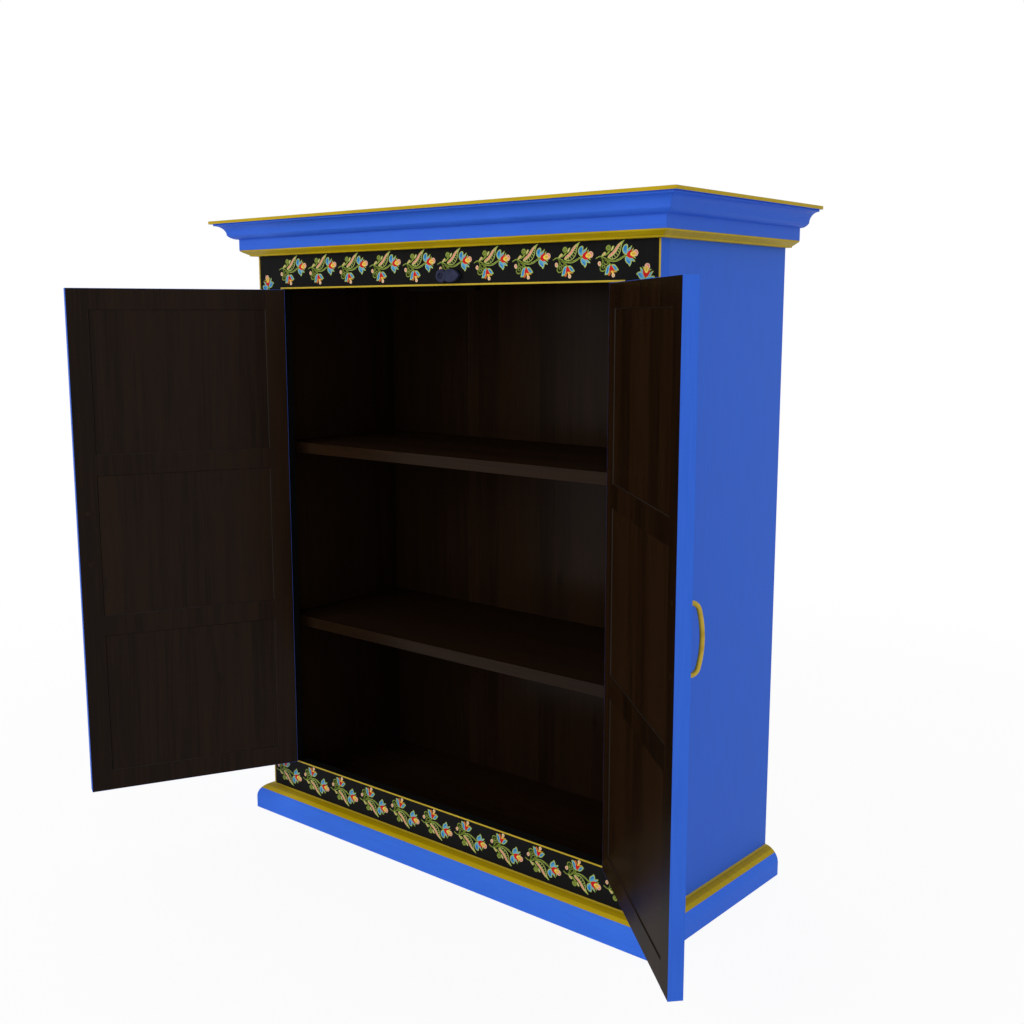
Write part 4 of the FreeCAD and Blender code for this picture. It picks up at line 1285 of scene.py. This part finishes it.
@dataclass(frozen=True)
class FaceFrame:
    """The black face frame: its flower borders, the gold lines round its opening and on its corners."""

    pitch: float = 84.1
    frieze_start: Point = (-406.9, 1106.5)
    frieze_count: int = 10
    base_start: Point = (-461.8, 84.6)
    base_count: int = 11
    stile_middle: float = 439.0
    stile_low: float = 139.0
    stile_high: float = 1018.4
    stile_count: int = 11
    opening_half: float = node_reach("frame_stile_right", X)[0]
    opening_low: float = node_reach("base_rail", Z)[1]
    opening_high: float = node_reach("frieze_rail", Z)[0]
    line_width: float = 3.0
    side_line_gap: float = 1.2
    hinge_margin: float = 1.0
    corner_line: Point = (465.5, 468.9)
    corner_reach: Point = (52.6, 1133.3)

    def run(self, name: str, start: Point, step: Point, count: int, along: Point, up: Point) -> FlowerBorder:
        """Set out a run of sprays.

        Args:
            name: The run's name.
            start: The tip of its first stem, in x and z.
            step: The way from one tip to the next.
            count: How many sprays it has.
            along: The way that a spray's length runs.
            up: The way that its height runs.

        Returns:
            The run.
        """
        tips = [(start[0] + step[0] * number, start[1] + step[1] * number) for number in range(count)]
        return FlowerBorder(name, tuple(Standing(tip, along, up) for tip in tips))

    def borders(self) -> list[FlowerBorder]:
        """Set out the four runs of sprays: frieze, base rail turned over, and the two stiles on end.

        Returns:
            The runs.
        """
        level = (self.pitch, 0.0)
        rise = (0.0, (self.stile_high - self.stile_low) / (self.stile_count - 1))
        runs = [self.run("frieze_flowers", self.frieze_start, level, self.frieze_count, (1, 0), (0, 1)),
                self.run("base_rail_flowers", self.base_start, level, self.base_count, (1, 0), (0, -1))]
        for side in Side:
            name, outward = f"{side.word}_stile_flowers", (side.value, 0)
            start = (side.value * self.stile_middle, self.stile_low)
            runs.append(self.run(name, start, rise, self.stile_count, (0, 1), outward))
        return runs

    def line_runs(self) -> list[tuple[Point, Point]]:
        """Set out the gold lines round the opening, which stop at the hinges.

        Returns:
            Each line as its reach in x and in z.
        """
        outer = self.opening_half + self.line_width
        runs = [((-outer, outer), (self.opening_high, self.opening_high + self.line_width)),
                ((-outer, outer), (self.opening_low - self.line_width, self.opening_low))]
        stops = [self.opening_low]
        for low in HINGE_LOWS:
            stops += [low - self.hinge_margin, low + HINGE_HEIGHT + self.hinge_margin]
        stops.append(self.opening_high)
        for low, high in zip(stops[::2], stops[1::2]):
            near = self.opening_half + self.side_line_gap
            runs += [((near, outer), (low, high)), ((-outer, -near), (low, high))]
        return runs

    def build_lines(self, name: str, runs: Sequence[tuple[Point, Point]], palette: Palette) -> None:
        """Paint straight gold lines.

        Args:
            name: The piece's name.
            runs: Each line's reach in x and in z.
            palette: The finishes.
        """
        relief = Relief()
        on_frame = Standing((0, 0), (1, 0), (0, 1))
        for (left, right), (low, high) in runs:
            outline = [(left, low), (right, low), (right, high), (left, high)]
            relief.lay(outline, on_frame, 0, 0)
        relief.place(name, "carcass", Slot.GOLD, [palette.gold_line])

    def dress(self, palette: Palette) -> None:
        """Finish the frame and paint its lines and flowers.

        Args:
            palette: The finishes.
        """
        palette.stile.put_on("frame_stile_left", "frame_stile_right", "frieze_rail", "base_rail")
        self.build_lines("opening_gold_line", self.line_runs(), palette)
        near, far = self.corner_line
        corners = [((near, far), self.corner_reach), ((-far, -near), self.corner_reach)]
        self.build_lines("corner_gold_lines", corners, palette)
        spray = Spray()
        for border in self.borders():
            border.build(spray, palette)


@dataclass(frozen=True)
class Carcass:
    """The case: sides, boards, shelves and back, the framing under the floor, cornice and plinth."""

    sides: tuple[str, ...] = ("side_panel_left", "side_panel_right")
    boards: tuple[str, ...] = ("bottom_board", "top_board", "lower_shelf", "upper_shelf")
    backs: tuple[str, ...] = ("back_board_1", "back_board_2", "back_board_3", "back_board_4")
    framing: tuple[str, ...] = ("back_foot_rail", "centre_bearer", "corner_blocks")
    runs: tuple[str, ...] = ("front", "left", "right")

    def dress(self, palette: Palette) -> None:
        """Finish every board and moulding.

        Args:
            palette: The finishes.
        """
        palette.side.put_on(*self.sides)
        palette.shelf.put_on(*self.boards)
        palette.stop.put_on("door_stop")
        palette.back.put_on(*self.backs)
        palette.dry.put_on(*self.framing)
        palette.cap.put_on("cornice_cap")
        palette.blue.put_on(*(f"crown_{run}" for run in self.runs))
        palette.gold.put_on(*(f"bed_mould_{run}" for run in self.runs))
        palette.plinth.put_on(*(f"plinth_{run}" for run in self.runs))


@dataclass(frozen=True)
class SlottedHead:
    """The head of a wood screw with a sawn slot."""

    radius: float
    proud: float
    slot_width: float
    slot_depth: float
    skirt: float
    steps: int = 9

    ROUNDING: ClassVar[float] = 0.16  # the share of its radius by which the rim is rounded

    def build(self, shape: Shape, turn: float, place: Callable[[float, float, float], Place]) -> None:
        """Add the head to a shape.

        Args:
            shape: The shape.
            turn: How far its slot is turned, in degrees.
            place: What puts a place across the head, up it and out of the wood into the cupboard's frame.
        """
        cosine, sine = math.cos(math.radians(turn)), math.sin(math.radians(turn))

        def turned(u: float, v: float, out: float) -> Place:
            """Put a place across the slot, along it and out of the wood into the cupboard's frame."""
            return place(u * cosine - v * sine, u * sine + v * cosine, out)
        half = self.slot_width / 2
        floor = self.proud - self.slot_depth
        round_off = self.radius * self.ROUNDING
        for hand in (1, -1):
            rings = []
            for reach, out in ((self.radius, -self.skirt), (self.radius, self.proud - round_off),
                               (self.radius - round_off, self.proud)):
                limit = math.acos(half / reach)
                angles = [limit * (2 * step / self.steps - 1) for step in range(self.steps + 1)]
                rings.append([turned(hand * reach * math.cos(a), reach * math.sin(a), out) for a in angles])
            shape.stack(rings)
        end = math.sqrt(self.radius ** 2 - half ** 2)
        corners = [(-half, -end), (half, -end), (half, end), (-half, end)]
        shape.stack([[turned(u, v, out) for u, v in corners] for out in (-self.skirt, floor)])


@dataclass(frozen=True)
class Hinges:
    """The butt hinges: black iron leaves and pins, with three slotted screws in each leaf."""

    leaf_face: float = 1.0
    screw_rises: tuple[float, ...] = (12.0, 30.0, 48.0)
    screw_depths: tuple[float, ...] = (9.0, 12.5, 9.0)
    first_turn: float = 25.0
    next_turn: float = 40.0
    head: SlottedHead = SlottedHead(2.1, 0.25, 0.6, 0.45, 0.8)

    def screws(self, hanging: Hanging, faces: int, shape: Shape) -> None:
        """Add the screws of one door's hinges on one of its two leaves.

        Args:
            hanging: How the door hangs.
            faces: The way the leaf's face looks in x.
            shape: The shape that the screws are added to.
        """
        face_x = hanging.pin_x - faces * self.leaf_face
        for low in HINGE_LOWS:
            for number, (rise, deep) in enumerate(zip(self.screw_rises, self.screw_depths)):
                y, z = hanging.pin_y + deep, low + rise
                turn = self.first_turn + self.next_turn * number + low
                self.head.build(shape, turn,
                                lambda across, up, out: (face_x + faces * out, y + across, z + up))

    def dress(self, palette: Palette) -> None:
        """Finish the leaves and pins, and drive the screws.

        Args:
            palette: The finishes.
        """
        iron = Dress(palette.black_iron, palette.black_iron, 0.0)
        iron.put_on("frame_hinge_leaves", "hinge_pins", "left_door_hinge_leaves", "right_door_hinge_leaves")
        frame_screws = Shape()
        for hanging in HANGINGS:
            side = hanging.side
            self.screws(hanging, -side.value, frame_screws)
            door_screws = Shape()
            self.screws(hanging, side.value, door_screws)
            door_screws.place(f"{side.word}_door_hinge_screws", f"{side.word}_door", Slot.BLACK_IRON,
                              [palette.black_iron], hanging.open_up())
        frame_screws.place("frame_hinge_screws", "carcass", Slot.BLACK_IRON, [palette.black_iron])


@dataclass(frozen=True)
class Door:
    """A panelled door with its bow handle."""

    hanging: Hanging
    stiles: tuple[str, ...] = ("hinge_stile", "meeting_stile")
    rails: tuple[str, ...] = ("bottom_rail", "lower_rail", "upper_rail", "top_rail")
    panels: tuple[str, ...] = ("bottom_panel", "middle_panel", "top_panel")
    handle_reach: float = 381.0
    handle_level: float = sum(node_reach("left_handle", Z)) / 2
    handle_span: float = 96.0
    handle_height: float = 19.5
    handle_foot: float = 3.0
    handle_corner: float = 12.0
    bend_steps: int = 8
    rod: float = 7.0
    rod_sides: int = 20
    panel_reach: Point = (39.0, 362.0)
    panel_play: float = 1.0
    fillet_bite: float = 0.1
    fillet_depths: Point = (21.45, 20.2)
    fillet_back: float = 18.0

    def bow_path(self) -> list[Point]:
        """Draw the handle's middle line: foot, corner, low bow, and the same again turned over.

        Returns:
            Its points, as how far out of the door and how far up from the handle's middle.
        """
        rise = self.handle_height - self.handle_foot
        half = self.handle_span / 2 - self.handle_corner
        bow = (rise ** 2 + half ** 2 - self.handle_corner ** 2) / (2 * (rise - self.handle_corner))
        turn = math.asin(half / (bow - self.handle_corner))
        path = [(0.0, self.handle_span / 2)]
        for step in range(self.bend_steps + 1):
            angle = math.pi / 2 + (turn - math.pi / 2) * step / self.bend_steps
            path.append((self.handle_foot + self.handle_corner * math.cos(angle),
                         half + self.handle_corner * math.sin(angle)))
        for step in range(1, self.bend_steps + 1):
            angle = turn * (1 - step / self.bend_steps)
            path.append((self.handle_height - bow + bow * math.cos(angle), bow * math.sin(angle)))
        return path + [(out, -up) for out, up in path[-2::-1]]

    def build_handle(self, palette: Palette) -> None:
        """Bend the round handle bar.

        Args:
            palette: The finishes.
        """
        side = self.hanging.side
        x = self.hanging.pin_x - side.value * self.handle_reach
        path = [Vector(point) for point in self.bow_path()]
        rings = []
        for number, point in enumerate(path):
            run = (path[min(number + 1, len(path) - 1)] - path[max(number - 1, 0)]).normalized()
            if number in (0, len(path) - 1):
                run = Vector((1 if number == 0 else -1, 0))
            ring = []
            for corner in range(self.rod_sides):
                angle = math.tau * corner / self.rod_sides
                beside, off = self.rod / 2 * math.sin(angle), self.rod / 2 * math.cos(angle)
                out, up = point + Vector((-run.y, run.x)) * off
                ring.append((x + beside, FRONT - out, self.handle_level + up))
            rings.append(ring)
        shape = Shape()
        shape.stack(rings)
        piece = shape.place(f"{side.word}_bow_handle", f"{side.word}_door", Slot.GILT, [palette.gilt],
                            self.hanging.open_up())
        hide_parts(f"{side.word}_handle")

    def fill_joints(self, palette: Palette) -> None:
        """Fill the narrow joint round each panel with a sloping fillet of varnish.

        Args:
            palette: The finishes.
        """
        side = self.hanging.side
        shape = Shape()
        rails = [node_reach(f"{side.word}_door_{rail}", Z) for rail in self.rails]
        for (_, low), (high, _) in zip(rails, rails[1:]):
            rings = []
            for play, depth in ((-self.fillet_bite, self.fillet_depths[0]),
                                (self.panel_play + self.fillet_bite, self.fillet_depths[1]),
                                (self.panel_play + self.fillet_bite, self.fillet_back),
                                (-self.fillet_bite, self.fillet_back)):
                near, far = (self.hanging.pin_x - side.value * reach
                             for reach in (self.panel_reach[0] + play, self.panel_reach[1] - play))
                bottom, top = low + play, high - play
                corners = ((near, bottom), (far, bottom), (far, top), (near, top))
                rings.append(shape.ring([(x, FRONT + depth, z) for x, z in corners]))
            for number, ring in enumerate(rings):
                shape.bridge(rings[number - 1], ring)
        shape.place(f"{side.word}_panel_fillets", f"{side.word}_door", Slot.WOOD, [palette.fillet],
                    self.hanging.open_up())

    def dress(self, palette: Palette) -> None:
        """Finish the door's boards and bolts, and hang its handle.

        Args:
            palette: The finishes.
        """
        side = self.hanging.side
        boards = (f"{side.word}_door_{member}" for member in self.stiles + self.rails + self.panels)
        palette.doors[side].put_on(*boards, f"{side.word}_handle_bolts")
        self.fill_joints(palette)
        self.build_handle(palette)


@dataclass(frozen=True)
class TurnButton:
    """The leaf-shaped iron button on the frieze, with its ring, its screw and the washer behind it."""

    back: float = node_reach("turn_button", Y)[1]
    thick: float = 8.0
    head: float = 11.4
    waist: float = 9.0
    neck: float = 10.5
    reach: float = 42.5
    leaf_radius: float = 25.5
    recess: float = 5.0
    recess_depth: float = 2.2
    ring_width: float = 2.4
    ring_slopes: Point = (0.5, 0.4)
    ring_dip: float = 0.2
    head_drop: float = 1.0
    leaf_drop: float = 0.4
    rounding: tuple[Point, ...] = ((0.0, 6.4), (0.0, 1.7), (0.3, 0.8), (0.8, 0.25), (1.5, 0.0))
    foot_inset: float = 0.4
    sides: int = 32
    edge_steps: int = 12
    screw: SlottedHead = SlottedHead(4.4, 0.3, 1.1, 1.0, 1.5)
    screw_turn: float = 32.0
    screw_lift: float = 1.5

    def at(self, along: float, up: float, out: float) -> Place:
        """Return a place on the button in the cupboard's frame."""
        pivot = find_joint("button_turn")["pos_m"]
        return (pivot[X] / MM + along, self.back - out, pivot[Z] / MM + up)

    def circle(self, radius: float) -> list[Point]:
        """Return a ring of places round the pivot, anticlockwise."""
        angles = [math.tau * step / self.sides for step in range(self.sides)]
        return [(radius * math.cos(angle), radius * math.sin(angle)) for angle in angles]

    def leaf_plan(self) -> list[Point]:
        """Draw the pointed leaf from the front, anticlockwise from its foot at the neck.

        Returns:
            Its outline.
        """
        run = math.hypot(self.reach - self.neck, self.waist)
        lean = math.atan2(self.waist, self.reach - self.neck)
        spread = math.asin(run / 2 / self.leaf_radius)
        edge = []
        for step in range(self.edge_steps + 1):
            angle = spread * (2 * step / self.edge_steps - 1)
            along = run / 2 + self.leaf_radius * math.sin(angle)
            bulge = self.leaf_radius * (math.cos(angle) - math.cos(spread))
            edge.append((self.neck + along * math.cos(lean) + bulge * math.sin(lean),
                         -self.waist + along * math.sin(lean) - bulge * math.cos(lean)))
        return edge + [(along, -up) for along, up in edge[-2::-1]]

    def raise_form(self, shape: Shape, plan: list[Point], top: float) -> Ring:
        """Raise a form with a rounded rim.

        Args:
            shape: The shape that it is added to.
            plan: Its outline from the front.
            top: How far its flat face stands off the back.

        Returns:
            The ring round the flat face, which is left open.
        """
        rings = [shape.ring([self.at(*point, 0.0) for point in inset(plan, self.foot_inset)])]
        shape.cap(rings[0])
        for margin, drop in self.rounding:
            rings.append(shape.ring([self.at(*point, top - drop) for point in inset(plan, margin)]))
        for first, second in zip(rings, rings[1:]):
            shape.bridge(first, second)
        return rings[-1]

    def build(self, palette: Palette) -> None:
        """Forge the button, its round head against its leaf, and its screw.

        Args:
            palette: The finishes.
        """
        shape = Shape()
        shape.cap(self.raise_form(shape, self.leaf_plan(), self.thick - self.leaf_drop))
        flat = self.thick - self.head_drop
        ring = self.raise_form(shape, self.circle(self.head), flat)
        outer, crest = self.recess + self.ring_width, self.recess + self.ring_width / 2
        shoulder = self.thick - self.ring_dip
        # slot 1, the darker iron, paints shade into the hollow inside the head's ring
        steps = ((outer, flat, 0), (outer - self.ring_slopes[0], shoulder, 0), (crest, self.thick, 0),
                 (self.recess + self.ring_slopes[1], shoulder, 0), (self.recess, flat, 1),
                 (self.recess, self.thick - self.recess_depth, 1))
        for radius, out, slot in steps:
            following = shape.ring([self.at(*point, out) for point in self.circle(radius)])
            shape.bridge(ring, following, slot)
            ring = following
        shape.cap(ring, 1)
        piece = shape.place("leaf_button", "button", Slot.IRON, [palette.navy_iron, palette.dark_iron])
        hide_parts("turn_button")
        head = Shape()
        seat = self.thick - self.recess_depth + self.screw_lift
        self.screw.build(head, self.screw_turn, lambda across, up, out: self.at(across, up, seat + out))
        # the screw in that hollow also takes the darker iron, as painted shade
        piece = head.place("button_screw_head", "carcass", Slot.IRON, [palette.dark_iron])
        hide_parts("button_screw")
        Dress(palette.navy_iron, palette.navy_iron, 0.0).put_on("button_washer")


@dataclass(frozen=True)
class Studio:
    """The plain white studio: camera, floor, lamp and surrounding light."""

    camera_place: Place = (1.5031, -1.7674, 1.0191)
    camera_turn: Place = (80.97, 0.0, 40.04)
    lens: float = 43.456
    sensor: float = 36.0
    surround: float = 0.79
    lamp_place: Place = (-0.5, -4.5, 2.2)
    lamp_aim: Place = (0.0, 0.0, 0.6)
    lamp_size: float = 2.6
    lamp_power: float = 55.0
    floor_half: float = 9.0
    floor_drop: float = 0.0005
    floor_grey: float = 0.94
    floor_shadow: float = 0.08
    shadow_reach: Point = (1.5, 7.0)

    def build_camera(self) -> None:
        """Set the camera where the photograph was taken from."""
        data = bpy.data.cameras.new("camera")
        data.lens = self.lens
        data.sensor_width = self.sensor
        camera = bpy.data.objects.new("camera", data)
        camera.location = self.camera_place
        camera.rotation_euler = [math.radians(turn) for turn in self.camera_turn]
        bpy.context.scene.collection.objects.link(camera)
        bpy.context.scene.camera = camera

    def build_floor(self) -> None:
        """Lay the pale floor, which keeps the cupboard's shadow and is white to the camera elsewhere."""
        data = bpy.data.meshes.new("floor")
        half = self.floor_half
        corners = [(-half, -half), (half, -half), (half, half), (-half, half)]
        data.from_pydata([(x, y, -self.floor_drop) for x, y in corners], [], [(0, 1, 2, 3)])
        floor = bpy.data.objects.new("floor", data)
        bpy.context.scene.collection.objects.link(floor)
        material = bpy.data.materials.new("pale_floor")
        material.use_nodes = True
        graph = Graph(material.node_tree)
        pale = graph.node("ShaderNodeBsdfDiffuse", {}, {"Color": (*[self.floor_grey] * 3, 1.0)})
        white = graph.node("ShaderNodeEmission", {}, {"Color": WHITE, "Strength": 1.0})
        spot = Spot(graph, None)
        far_off = graph.ramp(spot.x * spot.x + spot.y * spot.y, *self.shadow_reach)
        share = self.seen(graph) * (1 - (1 - far_off) * self.floor_shadow)
        surface = graph.node("ShaderNodeMixShader", {}, {0: share, 1: pale, 2: white})
        graph.node("ShaderNodeOutputMaterial", {}, {"Surface": surface})
        data.materials.append(material)

    def seen(self, graph: Graph) -> Value:
        """Tell where the room is seen from where it only lights.

        Args:
            graph: The node tree to add to.

        Returns:
            What is 1 where the room is seen straight, mirrored or through something.
        """
        outputs = graph.node("ShaderNodeLightPath", {}, {}).socket.node.outputs
        straight, mirrored, through = (Value(graph, outputs[f"Is {ray} Ray"])
                                       for ray in ("Camera", "Glossy", "Transmission"))
        return graph.maths("MAXIMUM", straight, graph.maths("MAXIMUM", mirrored, through))

    def build_surround(self) -> None:
        """Light the room evenly from all sides, and show it white."""
        world = bpy.data.worlds.new("studio")
        world.use_nodes = True
        bpy.context.scene.world = world
        graph = Graph(world.node_tree)
        lighting = graph.node("ShaderNodeBackground", {}, {"Color": WHITE, "Strength": self.surround})
        backdrop = graph.node("ShaderNodeBackground", {}, {"Color": WHITE, "Strength": 1.0})
        surface = graph.node("ShaderNodeMixShader", {}, {0: self.seen(graph), 1: lighting, 2: backdrop})
        graph.node("ShaderNodeOutputWorld", {}, {"Surface": surface})

    def build_lamp(self) -> None:
        """Hang the soft lamp in front of the cupboard."""
        data = bpy.data.lights.new("soft_lamp", "AREA")
        data.size = self.lamp_size
        data.energy = self.lamp_power
        lamp = bpy.data.objects.new("soft_lamp", data)
        lamp.location = self.lamp_place
        aim = Vector(self.lamp_aim) - Vector(self.lamp_place)
        lamp.rotation_euler = aim.to_track_quat("-Z", "Y").to_euler()
        bpy.context.scene.collection.objects.link(lamp)

    def build(self) -> None:
        """Set up the studio."""
        self.build_camera()
        self.build_floor()
        self.build_surround()
        self.build_lamp()
        bpy.context.scene.view_settings.view_transform = "Standard"
        LOG.info("set up the studio")


def main() -> None:
    """Dress the cupboard, sub-assembly by sub-assembly."""
    logging.basicConfig(level=logging.INFO, format="%(message)s")
    palette = Palette()
    Studio().build()
    Carcass().dress(palette)
    FaceFrame().dress(palette)
    for hanging in HANGINGS:
        Door(hanging).dress(palette)
    Hinges().dress(palette)
    TurnButton().build(palette)


if __name__ == "__main__":
    main()
